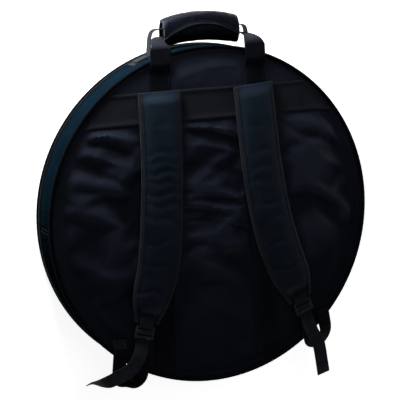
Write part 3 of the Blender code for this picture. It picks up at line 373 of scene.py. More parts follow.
def ribbed(name, dark, light, rib, specular=0.06, sheen=0.04):
    """Makes narrow woven webbing or tape: ribs across it, rows of yarn along it and a tight edge."""
    made, tree, shader = start_finish(name, specular, sheen, (0.7, 0.8, 1.0))
    place = add_node(tree, "TexCoord").outputs["UV"]
    ribs = bands(tree, place, rib, "Y")
    rows = bands(tree, place, rib * 0.8, "X")
    cloudy = blotches(tree, place, 60)
    height = maths(tree, "ADD", maths(tree, "MULTIPLY", ribs, rows), maths(tree, "MULTIPLY", rows, 0.4))
    share = maths(tree, "ADD", maths(tree, "MULTIPLY", height, 0.4), maths(tree, "MULTIPLY", cloudy, 0.7))
    colour = two_tone(tree, share, dark, light)
    rough = between(tree, cloudy, 0.5, 0.72)
    finish_off(tree, shader, colour, rough, height, 0.0002)
    return made


def moulded(name, dark, light, rough_low, rough_high, specular, metallic=0.0, grain=0.00003):
    """Makes a moulded or cast finish: fine grain, handling marks and a little wear."""
    made, tree, shader = start_finish(name, specular, metallic=metallic)
    place = add_node(tree, "TexCoord").outputs["Object"]
    grainy = blotches(tree, place, 2600, 2.0)
    worn = blotches(tree, place, 180, 4.0)
    colour = two_tone(tree, worn, dark, light, 0.45, 0.75)
    rough = between(tree, worn, rough_low, rough_high)
    finish_off(tree, shader, colour, rough, grainy, grain)
    return made


def padding(name, dark, light):
    """Makes open foam: small cells and a matt skin."""
    made, tree, shader = start_finish(name, 0.1)
    place = add_node(tree, "TexCoord").outputs["Object"]
    cells = add_node(tree, "TexVoronoi", None, Vector=place, Scale=900.0).outputs["Distance"]
    colour = two_tone(tree, cells, dark, light, 0.1, 0.6)
    rough = between(tree, cells, 0.85, 0.98)
    finish_off(tree, shader, colour, rough, cells, 0.0003)
    return made


NAVY = (0.60, 0.70, 1.0)
CYAN = (0.22, 0.66, 1.0)
FINE_YARN = 0.0008
PANEL_NYLON = woven(
    "panel nylon", (0.0010, 0.0012, 0.0020), (0.0125, 0.0160, 0.0270), FINE_YARN, 0.05, NAVY, False, 0.2,
    (0.36, 0.54),
)
# A brighter, cyan copy of the navy nylon: the side wall painted as lit from the side.
SIDE_NYLON_PAINTED_LIT = woven(
    "side nylon painted lit", (0.0005, 0.0015, 0.0029), (0.0034, 0.0112, 0.0195), FINE_YARN, 0.01, CYAN, True, 0.0
)
YOKE_NYLON = woven(
    "band nylon", (0.0055, 0.0052, 0.0058), (0.0260, 0.0265, 0.0320), FINE_YARN, 0.05, NAVY, True
)
STRAP_NYLON = woven(
    "strap nylon", (0.0012, 0.0022, 0.0040), (0.0105, 0.0215, 0.0350), FINE_YARN, 0.06, NAVY, True, 0.18
)
GRIP_NYLON = woven(
    "grip nylon", (0.0006, 0.0008, 0.0014), (0.0042, 0.0056, 0.0088), FINE_YARN, 0.01, NAVY, True, 0.10,
    (0.16, 0.28),
)
LINING = woven("lining cloth", (0.008, 0.008, 0.010), (0.028, 0.028, 0.034), 0.0005, 0.05, (1, 1, 1))
BINDING = ribbed("binding tape", (0.0018, 0.0020, 0.0028), (0.0080, 0.0095, 0.0125), 0.0011, 0.25)
PIPING_TAPE = ribbed("piping tape", (0.0008, 0.0010, 0.0015), (0.0030, 0.0042, 0.0062), 0.0011, 0.01, 0.0)
WEBBING_TAPE = ribbed("heavy webbing", (0.0012, 0.0014, 0.0021), (0.0048, 0.0056, 0.0080), 0.0022)
TAIL_TAPE = ribbed("strap webbing", (0.0065, 0.0066, 0.0085), (0.0240, 0.0250, 0.0310), 0.0018)
ZIP_TAPE = ribbed("zip tape", (0.0014, 0.0016, 0.0020), (0.0040, 0.0044, 0.0052), 0.0007, 0.0, 0.0)
THREAD = moulded("sewing thread", (0.006, 0.007, 0.010), (0.014, 0.017, 0.024), 0.55, 0.75, 0.2)
COIL_PLASTIC = moulded(
    "zip coil plastic", (0.0030, 0.0032, 0.0038), (0.0070, 0.0072, 0.0080), 0.30, 0.45, 0.08
)
LOCK_PLASTIC = moulded("buckle plastic", (0.013, 0.014, 0.016), (0.034, 0.037, 0.043), 0.18, 0.30, 0.6)
DARK_METAL = moulded("dark metal", (0.09, 0.09, 0.10), (0.22, 0.21, 0.20), 0.26, 0.42, 0.5, 1.0, 0.00001)
FOAM = padding("closed foam", (0.012, 0.012, 0.013), (0.030, 0.030, 0.031))


# Shaping

PATH_STEPS = 12


def spread(low, high, count):
    """Gives count even steps from low to high, with both ends."""
    return [low + (high - low) * k / count for k in range(count + 1)]


def at_angle(radius, angle, z):
    """Gives the place at a radius, an angle and a level."""
    return Vector((radius * math.cos(angle), radius * math.sin(angle), z))


def stand_at(columns, place):
    """Gives the frame with three given axes at a place."""
    placed = Matrix([[c[i] for c in columns] for i in range(3)]).to_4x4()
    placed.translation = place
    return placed


def new_object(name, mesh):
    """Puts a mesh into the scene as an object of its own."""
    data = bpy.data.meshes.new(name)
    mesh.to_mesh(data)
    mesh.free()
    made = bpy.data.objects.new(name, data)
    bpy.context.scene.collection.objects.link(made)
    return made


def join(mesh, added):
    """Adds a second mesh's faces to a mesh."""
    data = bpy.data.meshes.new("added")
    added.to_mesh(data)
    added.free()
    mesh.from_mesh(data)
    bpy.data.meshes.remove(data)


def drawn(stations, capped=True):
    """Draws a closed section out through its stations, and maps it in metres: across, then along."""
    mesh = bmesh.new()
    uv = mesh.loops.layers.uv.new("cloth")
    wide = len(stations[0])
    columns = wide + 1
    grid = bmesh.ops.create_grid(mesh, x_segments=wide, y_segments=len(stations) - 1, size=1)["verts"]
    grid.sort(key=lambda v: (round(v.co.y, 6), round(v.co.x, 6)))
    rows = [grid[j * columns:(j + 1) * columns] for j in range(len(stations))]
    spot = {}
    for j, (row, station) in enumerate(zip(rows, stations)):
        for i, v in enumerate(row):
            v.co = station[i % wide]
            spot[v] = (i, j)
    girth = [0.0]
    middle = stations[len(stations) // 2]
    for i in range(wide):
        girth.append(girth[-1] + (Vector(middle[(i + 1) % wide]) - Vector(middle[i])).length)
    run = [0.0]
    for a, b in zip(stations, stations[1:]):
        steps = [(Vector(q) - Vector(p)).length for p, q in zip(a, b)]
        run.append(run[-1] + sum(steps) / len(steps))

    def map_faces(faces):
        for face in faces:
            for corner in face.loops:
                i, j = spot[corner.vert]
                corner[uv].uv = (girth[i], run[j])

    map_faces(mesh.faces)
    bmesh.ops.weld_verts(mesh, targetmap={row[-1]: row[0] for row in rows})
    if capped:
        map_faces([mesh.faces.new(rows[0][:wide]), mesh.faces.new(rows[-1][:wide])])
    bmesh.ops.recalc_face_normals(mesh, faces=mesh.faces)
    return mesh


def turned(profile, start=0.0, sweep=math.tau, steps=180, shape=None):
    """Turns an outline of (radius, height) about Z; shape may move a point by its angle."""
    stations = []
    for angle in spread(start, start + sweep, steps):
        ring = profile if shape is None else [shape(r, z, angle) for r, z in profile]
        stations.append([at_angle(r, angle, z) for r, z in ring])
    whole = abs(sweep - math.tau) < 1e-6
    mesh = drawn(stations, capped=not whole)
    if whole:
        bmesh.ops.remove_doubles(mesh, verts=mesh.verts, dist=0.000002)
        bmesh.ops.recalc_face_normals(mesh, faces=mesh.faces)
    return mesh


def pancake(radius, bottom, top, ring_step, steps, relief=None, round_off=0.0008):
    """Makes a round sheet or pad with a soft rim, and gives its top a relief."""
    rings = max(int(radius / ring_step), 2)
    outline = [(0.00001 + (radius - round_off) * i / rings, top) for i in range(rings + 1)]
    outline += [(radius, top - round_off * 0.6), (radius, bottom + round_off * 0.6)]
    outline += [(radius - round_off, bottom), (0.00001, bottom)]
    mesh = turned(outline, steps=steps)
    bmesh.ops.remove_doubles(mesh, verts=mesh.verts, dist=0.00003)
    if relief is not None:
        for v in mesh.verts:
            if v.co.z > top - 0.00005:
                v.co.z += relief(v.co.x, v.co.y)
    bmesh.ops.recalc_face_normals(mesh, faces=mesh.faces)
    return mesh


def sew(mesh, line, lift, pitch=0.0036, length=0.0025, size=0.00034):
    """Lays a row of stitches along a line of places, each raised by lift."""
    thread = bmesh.new()
    run = 0.0
    next_at = pitch / 2
    for a, b in zip(line, line[1:]):
        step = b - a
        reach = step.length
        while next_at <= run + reach and reach > 0:
            forward = step.normalized()
            across = forward.cross(lift.normalized()).normalized()
            place = a + step * ((next_at - run) / reach) + lift
            bmesh.ops.create_cone(
                thread, cap_ends=True, segments=5, radius1=size, radius2=size * 0.85, depth=length,
                matrix=stand_at((across, across.cross(forward) * 0.8, forward), place),
            )
            next_at += pitch
        run += reach
    for face in thread.faces:
        face.material_index = 1
    join(mesh, thread)


def sew_ring(mesh, radius, level, rise, size=0.00034):
    """Lays a row of stitches round a sheet."""
    line = [at_angle(radius, angle, level) for angle in spread(0.0, math.tau, 720)]
    sew(mesh, line, Vector((0, 0, rise)), size=size)


def piece(name, mesh, looks, body, stands_for=()):
    """Turns a mesh into one finished piece that rides on a body; a piece given two bodies only has its place
    baked into its mesh.
    """
    made = new_object(name, mesh)
    made.data.shade_smooth()
    made.data.set_sharp_from_angle(angle=SHARP_ANGLE)
    for look in looks:
        made.data.materials.append(look)
    if isinstance(body, str):
        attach(made, body)
    else:
        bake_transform(made)
    if stands_for:
        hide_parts(*stands_for)
    return made


def pace(here, there):
    """Gives the share of a smooth curve that runs between two points, which is more where they lie apart."""
    return math.sqrt(math.dist(here[:3], there[:3]))


def bend(before, point, after):
    """Gives the direction of a smooth curve at a point, at an even pace."""
    back = pace(before, point)
    ahead = pace(point, after)
    if not back:
        return [(c - b) / ahead for b, c in zip(point, after)]
    if not ahead:
        return [(b - a) / back for a, b in zip(before, point)]
    return [
        (b - a) / back - (c - a) / (back + ahead) + (c - b) / ahead
        for a, b, c in zip(before, point, after)
    ]


def smooth_path(points, steps):
    """Reads a smooth curve through points, each a tuple of numbers, with even steps between them."""
    last = len(points) - 1
    path = []
    for i in range(last):
        here, there = points[i], points[i + 1]
        leave = bend(points[max(i - 1, 0)], here, there)
        reach = bend(here, there, points[min(i + 2, last)])
        length = pace(here, there)
        for step in range(steps):
            t = step / steps
            to_there = t * t * (3 - 2 * t)
            from_leave = t * (1 - t) * (1 - t) * length
            from_reach = t * t * (t - 1) * length
            path.append(
                tuple(
                    a + (b - a) * to_there + c * from_leave + d * from_reach
                    for a, b, c, d in zip(here, there, leave, reach)
                )
            )
    path.append(tuple(points[-1]))
    return path


def ribbon_path(rows):
    """Reads a smooth ribbon path through rows of a place and a twist: 0 lies flat, 1 stands on edge."""
    line = smooth_path(rows, PATH_STEPS)
    last = len(line) - 1
    path = []
    for i, (x, y, z, twist) in enumerate(line):
        ahead = line[min(i + 1, last)]
        behind = line[max(i - 1, 0)]
        level = Vector((ahead[1] - behind[1], behind[0] - ahead[0], 0)).normalized()
        turn = min(max(twist, 0.0), 1.0) * math.pi / 2
        side = level * math.cos(turn) + Vector((0, 0, math.sin(turn)))
        forward = Vector([a - b for a, b in zip(ahead[:3], behind[:3])]).normalized()
        path.append((Vector((x, y, z)), (side - side.dot(forward) * forward).normalized()))
    return path


def tape_stations(path, width, thickness):
    """Gives the stations of flat webbing along a path; width may be a function of its share."""
    stations = []
    last = len(path) - 1
    for i, (place, side) in enumerate(path):
        forward = (path[min(i + 1, last)][0] - path[max(i - 1, 0)][0]).normalized()
        up = forward.cross(side).normalized()
        half = (width(i / last) if callable(width) else width) / 2
        thick = thickness / 2
        cut = thickness * 0.35
        section = (
            (-half, -thick * 0.3), (-half + cut, -thick), (0, -thick), (half - cut, -thick),
            (half, -thick * 0.3), (half, thick * 0.3), (half - cut, thick), (0, thick),
            (-half + cut, thick), (-half, thick * 0.3),
        )
        stations.append([place + side * x + up * z for x, z in section])
    return stations


def edge_line(path, aside):
    """Gives the line that runs beside a ribbon's middle."""
    return [place + side * aside for place, side in path]


def box_stitch(mesh, corner_a, corner_b, corner_c, corner_d, lift):
    """Sews a box with its cross, as at the end of a strap."""
    ring = (corner_a, corner_b, corner_c, corner_d, corner_a)
    for a, b in zip(ring, ring[1:]):
        sew(mesh, [a, b], lift, pitch=0.0026, length=0.0019)
    sew(mesh, [corner_a, corner_c], lift, pitch=0.0026, length=0.0019)
    sew(mesh, [corner_b, corner_d], lift, pitch=0.0026, length=0.0019)


def rim_height(x, radius):
    """Gives how far up the disc a circle lies above a place beside the middle."""
    return math.sqrt(radius * radius - x * x)


def leg_x(y):
    """Gives how far out the handle webbing lies, at a height on the back panel."""
    share = (OUTER_RADIUS - y) / (2 * OUTER_RADIUS)
    return HANDLE_SPREAD_TOP + (HANDLE_SPREAD_BOTTOM - HANDLE_SPREAD_TOP) * share


# The camera, the floor and the lamps

CAMERA_TURNS = (("Z", 0.028), ("Y", 0.381), ("X", 0.169), ("Z", math.radians(4.4)))
CAMERA_OFFSET = Vector((0.0230, -0.0277, -2.6458))
CAMERA_LEVEL = 0.079


def add_camera():
    """Stands the camera where the photographer stood."""
    turn = Matrix.Identity(3)
    for axis, angle in CAMERA_TURNS:
        turn = turn @ Matrix.Rotation(angle, 3, axis)
    lens = bpy.data.cameras.new("camera")
    lens.lens = 135
    lens.sensor_width = 36
    made = bpy.data.objects.new("camera", lens)
    bpy.context.scene.collection.objects.link(made)
    back = turn.transposed()
    place = Vector((0, 0, CAMERA_LEVEL)) - back @ CAMERA_OFFSET
    made.matrix_world = Matrix.Translation(place) @ back.to_4x4()
    bpy.context.scene.camera = made
    return back


def add_lamp(name, place, aim, size, watts, colour):
    """Hangs one soft lamp and turns it to the bag."""
    light = bpy.data.lights.new(name, "AREA")
    light.size = size
    light.energy = watts
    light.color = colour
    made = bpy.data.objects.new(name, light)
    bpy.context.scene.collection.objects.link(made)
    made.location = place
    made.rotation_euler = (Vector(aim) - Vector(place)).to_track_quat("-Z", "Y").to_euler()


def add_floor():
    """Lays a pale floor that reads white to the camera and keeps the bag's shadow."""
    made, tree, shader = start_finish("pale floor", 0.0)
    shader.inputs["Base Color"].default_value = (0.82, 0.82, 0.82, 1)
    shader.inputs["Roughness"].default_value = 0.9
    path = add_node(tree, "LightPath")
    seen = maths(tree, "MAXIMUM", path.outputs["Is Camera Ray"], path.outputs["Is Glossy Ray"])
    seen = maths(tree, "MAXIMUM", seen, path.outputs["Is Transmission Ray"])
    glow = add_node(tree, "Emission", None, Strength=maths(tree, "MULTIPLY", seen, 0.88))
    both = add_node(tree, "AddShader", None, i0=shader.outputs[0], i1=glow.outputs[0])
    tree.links.new(both.outputs[0], tree.nodes["Material Output"].inputs["Surface"])
    mesh = bmesh.new()
    bmesh.ops.create_grid(mesh, x_segments=1, y_segments=1, size=9)
    floor = new_object("floor", mesh)
    floor.data.materials.append(made)


def add_world():
    """Fills the scene with a little even light, and shows white behind it."""
    world = bpy.data.worlds.new("studio")
    bpy.context.scene.world = world
    world.use_nodes = True
    tree = world.node_tree
    fill = tree.nodes["Background"]
    fill.inputs["Color"].default_value = (*WHITE, 1)
    path = add_node(tree, "LightPath")
    seen = maths(tree, "MAXIMUM", path.outputs["Is Camera Ray"], 0.07)
    tree.links.new(seen, fill.inputs["Strength"])
    bpy.context.scene.view_settings.view_transform = "Standard"


VIEW = add_camera()
WHITE = (0.95, 0.97, 1.0)
add_floor()
add_world()
add_lamp("key", VIEW @ Vector((-0.28, 0.68, 0.36)), (-0.02, 0.14, 0.05), 0.3, 17, WHITE)
add_lamp("side", VIEW @ Vector((-1.7, 0.6, 0.4)), (-0.25, 0.10, 0.05), 0.7, 5, (0.85, 0.95, 1.0))
add_lamp("low bottom", (0.3, -1.5, 0.16), (0.0, -0.3, 0.04), 0.5, 3.5, WHITE)
add_lamp("low right", (1.5, 0.2, 0.16), (0.3, 0.0, 0.04), 0.5, 3.5, WHITE)
add_lamp("fill", VIEW @ Vector((1.2, 0.6, 2.6)), (0.0, 0.0, 0.05), 1.6, 6.5, WHITE)


# The round body

def shade_of_fold(x, y, fold):
    """Gives how much one fold lifts the panel at a place: a creased ridge or valley, soft at its ends."""
    (ax, ay), (bx, by), wide, high = fold
    dx, dy = bx - ax, by - ay
    length = math.hypot(dx, dy)
    along = ((x - ax) * dx + (y - ay) * dy) / length
    aside = ((x - ax) * dy - (y - ay) * dx) / length
    aside += 0.04 * length * math.sin(math.pi * along / length)
    taper = 0.022
    if along < -taper or along > length + taper:
        return 0.0
    ends = min(1.0, (along + taper) / (2 * taper), (length + taper - along) / (2 * taper))
    ends = ends * ends * (3 - 2 * ends)
    return high * ends * 1.35 * math.exp(-1.7 * math.sqrt((aside / wide) ** 2 + 0.03))


def step_up(value, low, high):
    """Runs smoothly from 0 at low to 1 at high."""
    t = min(max((value - low) / (high - low), 0.0), 1.0)
    return t * t * (3 - 2 * t)


def strap_line(side_name):
    """Gives a strap's middle line and width down the panel, as rows of x, y and width."""
    side, top, sweep_by, inset, downs, outs, wides = STRAPS[side_name]
    length = YOKE_TOP + rim_height(top + sweep_by, OUTER_RADIUS) - inset
    return [
        (side * (top + sweep_by * out), YOKE_TOP - length * down, STRAP_WIDTH * wide)
        for down, out, wide in zip(downs, outs, wides)
    ]


def band_top(x):
    """Gives the upper edge of the sewn band, which follows the rim at its ends."""
    return min(YOKE_TOP, rim_height(min(abs(x), YOKE_HALF), YOKE_REACH))


def beside_straps(x, y):
    """Gives how far a place on the panel is from the nearer shoulder strap and its lower webbing."""
    nearest = 1.0
    for line in STRAP_LINES.values():
        middle = line[0]
        for row in line:
            if abs(row[1] - y) < abs(middle[1] - y):
                middle = row
        away = math.hypot(max(abs(x - middle[0]) - middle[2] / 2, 0.0), max(abs(y - middle[1]) - 0.01, 0.0))
        end = line[-1]
        if y < end[1] + 0.02:
            away = max(abs(x - end[0] * 1.12) - 0.050, 0.0)
        nearest = min(nearest, away)
    return nearest


def cloth_play(x, y):
    """Gives how free the panel cloth is, from 0 where it is sewn down to 1."""
    webbing = abs(abs(x) - leg_x(y)) - HANDLE_WEBBING_WIDTH / 2
    band = max(YOKE_BOTTOM - y, y - band_top(x), abs(x) - YOKE_HALF)
    free = 1 - step_up(math.hypot(x, y), 0.262, 0.284)
    return free * step_up(webbing, 0.001, 0.012) * step_up(band, 0.001, 0.010)


def first_height(x, y):
    """Gives the folds that the panel cloth starts from."""
    lift = 1.9 * sum(shade_of_fold(x, y, fold) for fold in FOLDS)
    ridges = 1 - 3.2 * abs(noise.noise(Vector((x * 9 + 0.2 * y, y * 24 - x * 6, 1.7))))
    return lift + 0.0008 * ridges + 0.0010 * noise.noise(Vector((x * 14, y * 20, 5.2)))


def settle_panel():
    """Lets the panel cloth, a little larger than its place, settle into folds between its seams."""
    steps = 116
    size = 0.288
    mesh = bmesh.new()
    bmesh.ops.create_grid(mesh, x_segments=steps, y_segments=steps, size=size)
    mesh.verts.ensure_lookup_table()
    held = []
    places = {}
    for v in mesh.verts:
        play = cloth_play(v.co.x, v.co.y)
        v.co.z = first_height(v.co.x, v.co.y) * play
        places[round((v.co.x + size) / 2 / size * steps), round((v.co.y + size) / 2 / size * steps)] = v.index
        if play < 0.05:
            held.append(v.index)
    cloth = new_object("loose_cloth", mesh)
    cloth.vertex_groups.new(name="held").add(held, 1.0, "REPLACE")
    settling = cloth.modifiers.new("settling", "CLOTH").settings
    settling.vertex_group_mass = "held"
    settling.quality = 6
    settling.shrink_min = -0.018
    settling.bending_stiffness = 0.3
    settling.use_pressure = True
    settling.uniform_pressure_force = 0.4
    settling.effector_weights.gravity = 0
    for frame_number in range(1, 21):
        bpy.context.scene.frame_set(frame_number)
    settled = cloth.evaluated_get(bpy.context.evaluated_depsgraph_get()).to_mesh()
    heights = {key: settled.vertices[index].co.z for key, index in places.items()}
    bpy.data.objects.remove(cloth)
    bpy.context.scene.frame_set(1)

    def height(x, y):
        across = (x + size) / 2 / size * steps
        up = (y + size) / 2 / size * steps
        i = min(max(int(across), 0), steps - 1)
        j = min(max(int(up), 0), steps - 1)
        u = across - i
        v = up - j
        near = heights[i, j] * (1 - u) + heights[i + 1, j] * u
        far = heights[i, j + 1] * (1 - u) + heights[i + 1, j + 1] * u
        return near * (1 - v) + far * v

    return height


def panel_relief(x, y):
    """Gives how far the back panel stands above its flat level."""
    radius = math.hypot(x, y)
    webbing = abs(abs(x) - leg_x(y)) - HANDLE_WEBBING_WIDTH / 2
    room = 0.0030 + 0.0030 * step_up(beside_straps(x, y), 0.004, 0.022)
    lift = loose_height(x, y) + 0.00035 * noise.noise(Vector((x * 60, y * 70, 4.1))) + 0.0008
    taut = (0.30 + 0.70 * step_up(y, -0.20, 0.02)) * (1 - 0.6 * step_up(y, YOKE_BOTTOM, YOKE_TOP))
    lift = min(max(lift * taut, -0.0007), room) * cloth_play(x, y)
    edge = step_up(radius, *PANEL_EDGE) * 0.00022
    groove = -0.0005 * math.exp(-(((radius - PANEL_GROOVE) / 0.0014) ** 2))
    return lift + edge + groove * (1 if webbing > 0 else 0)


def paint_light(made, share_at):
    """Keeps on each point a share of painted light and shade, from about -0.5 for painted shade to 0.5 for
    painted light.
    """
    kept = made.data.attributes.new("painted_light", "FLOAT", "POINT")
    for i, v in enumerate(made.data.vertices):
        kept.data[i].value = share_at(v.co)


STRAP_LINES = {name: smooth_path(strap_line(name), 8) for name in STRAPS}
loose_height = settle_panel()


def add_back_cover():
    """Makes the round back panel with its folds and the row of stitches inside its edge."""
    mesh = pancake(PANEL_RADIUS, PANEL_BOTTOM, PANEL_TOP, 0.0036, 240, panel_relief)
    sew_ring(mesh, PANEL_SEAM_RADIUS, PANEL_TOP + 0.0001, 0.00015)
    made = piece("back_cover", mesh, (PANEL_NYLON, THREAD), "back_shell", ("back_panel",))

    # Painted light and shade: the panel lighter towards its top, with a further step lighter near the top
    # edge of the sewn band, lighter on its fold ridges and darker in its fold valleys.
    def painted_light(place):
        painted_top_light = 0.36 * step_up(place.y, -0.20, 0.30) + 0.26 * step_up(place.y, 0.21, 0.24) - 0.18
        return min(max((place.z - PANEL_TOP - 0.0016) * 95, -0.32), 0.42) + painted_top_light

    paint_light(made, painted_light)


def add_front_cover():
    """Makes the round front panel, which the bag lies on."""
    mesh = pancake(PANEL_RADIUS, 0.0, FABRIC, 0.012, 180)
    sew_ring(mesh, PANEL_SEAM_RADIUS, 0.0003, -0.0001, 0.0002)
    piece("front_cover", mesh, (PANEL_NYLON, THREAD), "front_half", ("front_panel",))


def puckers(x, y):
    """Gives the small puckers of a lining inside its seam."""
    radius = math.hypot(x, y)
    ring = step_up(radius, 0.235, 0.270) * (1 - step_up(radius, 0.284, 0.290))
    angle = math.atan2(y, x)
    return -0.0004 * ring * (0.5 + 0.5 * math.sin(angle * 46 + 2 * math.sin(angle * 5)))


def creased(r, z, angle):
    """Creases the inner face of the side lining."""
    if r < LINING_INSIDE + 0.0001:
        r += 0.0004 * (0.5 + 0.5 * math.sin(angle * 62 + 3 * math.sin(angle * 7) + z * 90))
    return r, z


def add_pads():
    """Makes the foam pads and the linings that cover them."""
    mesh = pancake(FRONT_PAD_RADIUS, *FRONT_PAD, 0.02, 120, round_off=0.002)
    piece("front_padding", mesh, (FOAM,), "front_half", ("front_foam",))
    mesh = pancake(BACK_PAD_RADIUS - 0.0005, *BACK_PAD, 0.02, 120, round_off=0.002)
    piece("back_padding", mesh, (FOAM,), "back_shell", ("back_foam",))
    low, high = SIDE_PAD
    mesh = turned([(FOAM_INSIDE, low), (FOAM_OUTSIDE, low), (FOAM_OUTSIDE, high), (FOAM_INSIDE, high)])
    piece("side_padding", mesh, (FOAM,), "back_shell", ("gusset_foam",))
    mesh = pancake(FOAM_OUTSIDE, *FRONT_LINING, 0.006, 240, puckers, 0.0003)
    piece("front_lining_cloth", mesh, (LINING,), "front_half", ("front_lining",))
    mesh = pancake(BACK_PAD_RADIUS, *BACK_LINING, 0.006, 240, None, 0.0003)
    for v in mesh.verts:
        if v.co.z < BACK_LINING[0] + 0.0001:
            v.co.z -= puckers(v.co.x, v.co.y)
    piece("back_lining_cloth", mesh, (LINING,), "back_shell", ("back_lining",))
    outline = [(LINING_INSIDE, z) for z in (0.0762, 0.0600, 0.0450, 0.0300, 0.0196)]
    outline += [(0.2900, 0.0189), (0.2966, 0.0189), (0.2966, 0.0191), (0.2904, 0.0193)]
    outline += [(LINING_OUTSIDE, 0.0300), (LINING_OUTSIDE, 0.0762)]
    mesh = turned(outline, steps=360, shape=creased)
    piece("side_lining_cloth", mesh, (LINING,), "back_shell", ("gusset_lining",))


def wall_shape(r, z, angle):
    """Swells the side wall over its foam, with small wrinkles beside its seams."""
    if r < (WALL_INSIDE + WALL_OUTSIDE) / 2:
        return r, z
    share = (z - GUSSET_BOTTOM) / (GUSSET_TOP - GUSSET_BOTTOM)
    swell = 0.0022 * max(math.sin(math.pi * min(max(share, 0), 1)), 0) ** 0.7
    turn = (angle + math.pi) % math.tau - math.pi
    near_seam = min(abs(turn), math.pi - abs(turn))
    pull = math.exp(-((near_seam / 0.16) ** 2))
    waves = noise.noise(Vector((angle * 34, z * 30, 2.0))) * 0.7 + math.sin(angle * 150 + z * 160) * 0.5
    swell += 0.0008 * noise.noise(Vector((angle * 16, z * 46, 7.0))) * math.sin(math.pi * share)
    swell += 0.0009 * pull * waves * math.sin(math.pi * share)
    swell -= 0.0008 * math.exp(-((near_seam / 0.006) ** 2))
    for patch in PATCH_ANGLES.values():
        clear = step_up(abs(turn - patch), math.radians(5.6), math.radians(8.5))
        clear = max(clear, step_up(z, 0.055, 0.060))
        swell *= clear
        if clear < 0.5:
            swell = min(swell, 0.0)
    return WALL_OUTSIDE + min(swell, 0.0034), z


def add_side_wall():
    """Makes the two lengths of the side wall, with a row of stitches beside each seam."""
    outer = [(OUTER_RADIUS, z) for z in spread(GUSSET_BOTTOM, GUSSET_TOP, 14)]
    outline = outer + [(WALL_INSIDE, GUSSET_TOP), (WALL_INSIDE, GUSSET_BOTTOM)]
    seam = GAP / OUTER_RADIUS / 2
    sweep = math.pi - 2 * seam
    for which, start in (("upper", seam), ("lower", math.pi + seam)):
        mesh = turned(outline, start, sweep, 300, wall_shape)
        for angle in (start + 0.010, start + sweep - 0.010):
            line = [at_angle(wall_shape(r, z, angle)[0], angle, z) for r, z in outer[1:-1]]
            sew(mesh, line, at_angle(0.00015, angle, 0))
        piece(f"side_wall_{which}", mesh, (SIDE_NYLON_PAINTED_LIT, THREAD), "back_shell", (f"gusset_{which}",))


def add_piping(name, node, height, body):
    """Makes a corded edge, its tape pulled round the cord in small ripples."""
    outline = []
    for k in range(12):
        a = math.tau * (k + 0.5) / 12
        outline.append((PIPING_RING + PIPING_RADIUS * math.cos(a), height + PIPING_RADIUS * math.sin(a)))

    def rippled(r, z, angle):
        out, up = r - PIPING_RING, z - height
        pull = 1 + 0.035 * math.sin(angle * 190) + 0.03 * noise.noise(Vector((angle * 40, up * 300, 3)))
        return PIPING_RING + out * min(pull, 1.03), height + up * min(pull, 1.0)

    mesh = turned(outline, steps=540, shape=rippled)
    piece(name, mesh, (PIPING_TAPE,), body, (node,))


def add_zip_side(name, tape, coil, body):
    """Makes one side of the zip: its tape, and a row of coil teeth on a cord."""
    start = -math.pi / 2 + HINGE_HALF_ANGLE
    sweep = math.tau - 2 * HINGE_HALF_ANGLE
    low, high = tape
    outline = [
        (WALL_INSIDE, low), (TAPE_OUTSIDE - 0.0001, low), (TAPE_OUTSIDE, (low * 3 + high) / 4),
        (TAPE_OUTSIDE, (low + high * 3) / 4), (TAPE_OUTSIDE - 0.0001, high), (WALL_INSIDE, high),
    ]
    mesh = turned(outline, start, sweep, 320)
    piece(f"{name}_zip_tape_cloth", mesh, (ZIP_TAPE,), body, (f"{name}_zip_tape",))
    low, high = coil
    middle = (low + high) / 2
    outline = [(WALL_INSIDE, low), (0.2981, low), (0.2985, middle), (0.2981, high), (WALL_INSIDE, high)]
    mesh = turned(outline, start, sweep, 320)
    foot, tip, length = TOOTH_SIZES
    for k in range(COIL_TEETH):
        out = at_angle(1, start + sweep * (k + 0.5) / COIL_TEETH, 0)
        columns = (Vector((-out.y, out.x, 0)) * 0.85, Vector((0, 0, 1)), out)
        bmesh.ops.create_cone(
            mesh, cap_ends=True, segments=6, radius1=foot, radius2=tip, depth=length,
            matrix=stand_at(columns, out * 0.2982 + Vector((0, 0, middle))),
        )
    piece(f"{name}_zip_coil_teeth", mesh, (COIL_PLASTIC,), body, (f"{name}_zip_coil",))


def add_hinge_cloth():
    """Makes the one piece of cloth that joins the two halves where they aren't zipped."""
    levels = spread(FRONT_TAPE[0], BACK_TAPE[1], 10)
    outline = [(TAPE_OUTSIDE, z) for z in levels] + [(WALL_INSIDE, z) for z in reversed(levels)]

    def soft(r, z, angle):
        share = (z - levels[0]) / (levels[-1] - levels[0])
        puff = 0.0012 * math.sin(math.pi * share)
        puff += 0.0004 * noise.noise(Vector((angle * 60, z * 200, 9.0))) * math.sin(math.pi * share)
        return r + puff, z

    start = -math.pi / 2 - HINGE_HALF_ANGLE
    mesh = turned(outline, start, 2 * HINGE_HALF_ANGLE, 80, soft)
    across = ("front_half", "back_shell", (0, -OUTER_RADIUS, 0.0108), (0, -OUTER_RADIUS, 0.0147))
    piece("hinge_cloth", mesh, (SIDE_NYLON_PAINTED_LIT,), across, ("hinge_panel_front", "hinge_panel_back"))


def quilted(x, y):
    """Gives the relief of a divider: a seam groove inside its bound rim, and soft unevenness."""
    radius = math.hypot(x, y)
    dip = -0.0007 * step_up(radius, 0.2795, 0.2805) * (1 - step_up(radius, 0.2806, 0.2812))
    soft = 0.0003 * noise.noise(Vector((x * 14, y * 14, 3.3)))
    return dip - 0.0003 + soft * (1 - step_up(radius, 0.26, 0.278))


def add_dividers():
    """Makes the two padded dividers, each with a bound rim."""
    bottom = FRONT_LINING[1] + GAP
    for name in ("divider_lower", "divider_upper"):
        top = bottom + DIVIDER
        mesh = pancake(DIVIDER_RADIUS, bottom, top, 0.0045, 240, quilted, 0.0012)
        sew_ring(mesh, DIVIDER_SEAM_RADIUS, top - 0.0003, 0.0001, 0.00026)
        piece(f"padded_{name}", mesh, (LINING, THREAD), name, (name,))
        bottom = top + GAP


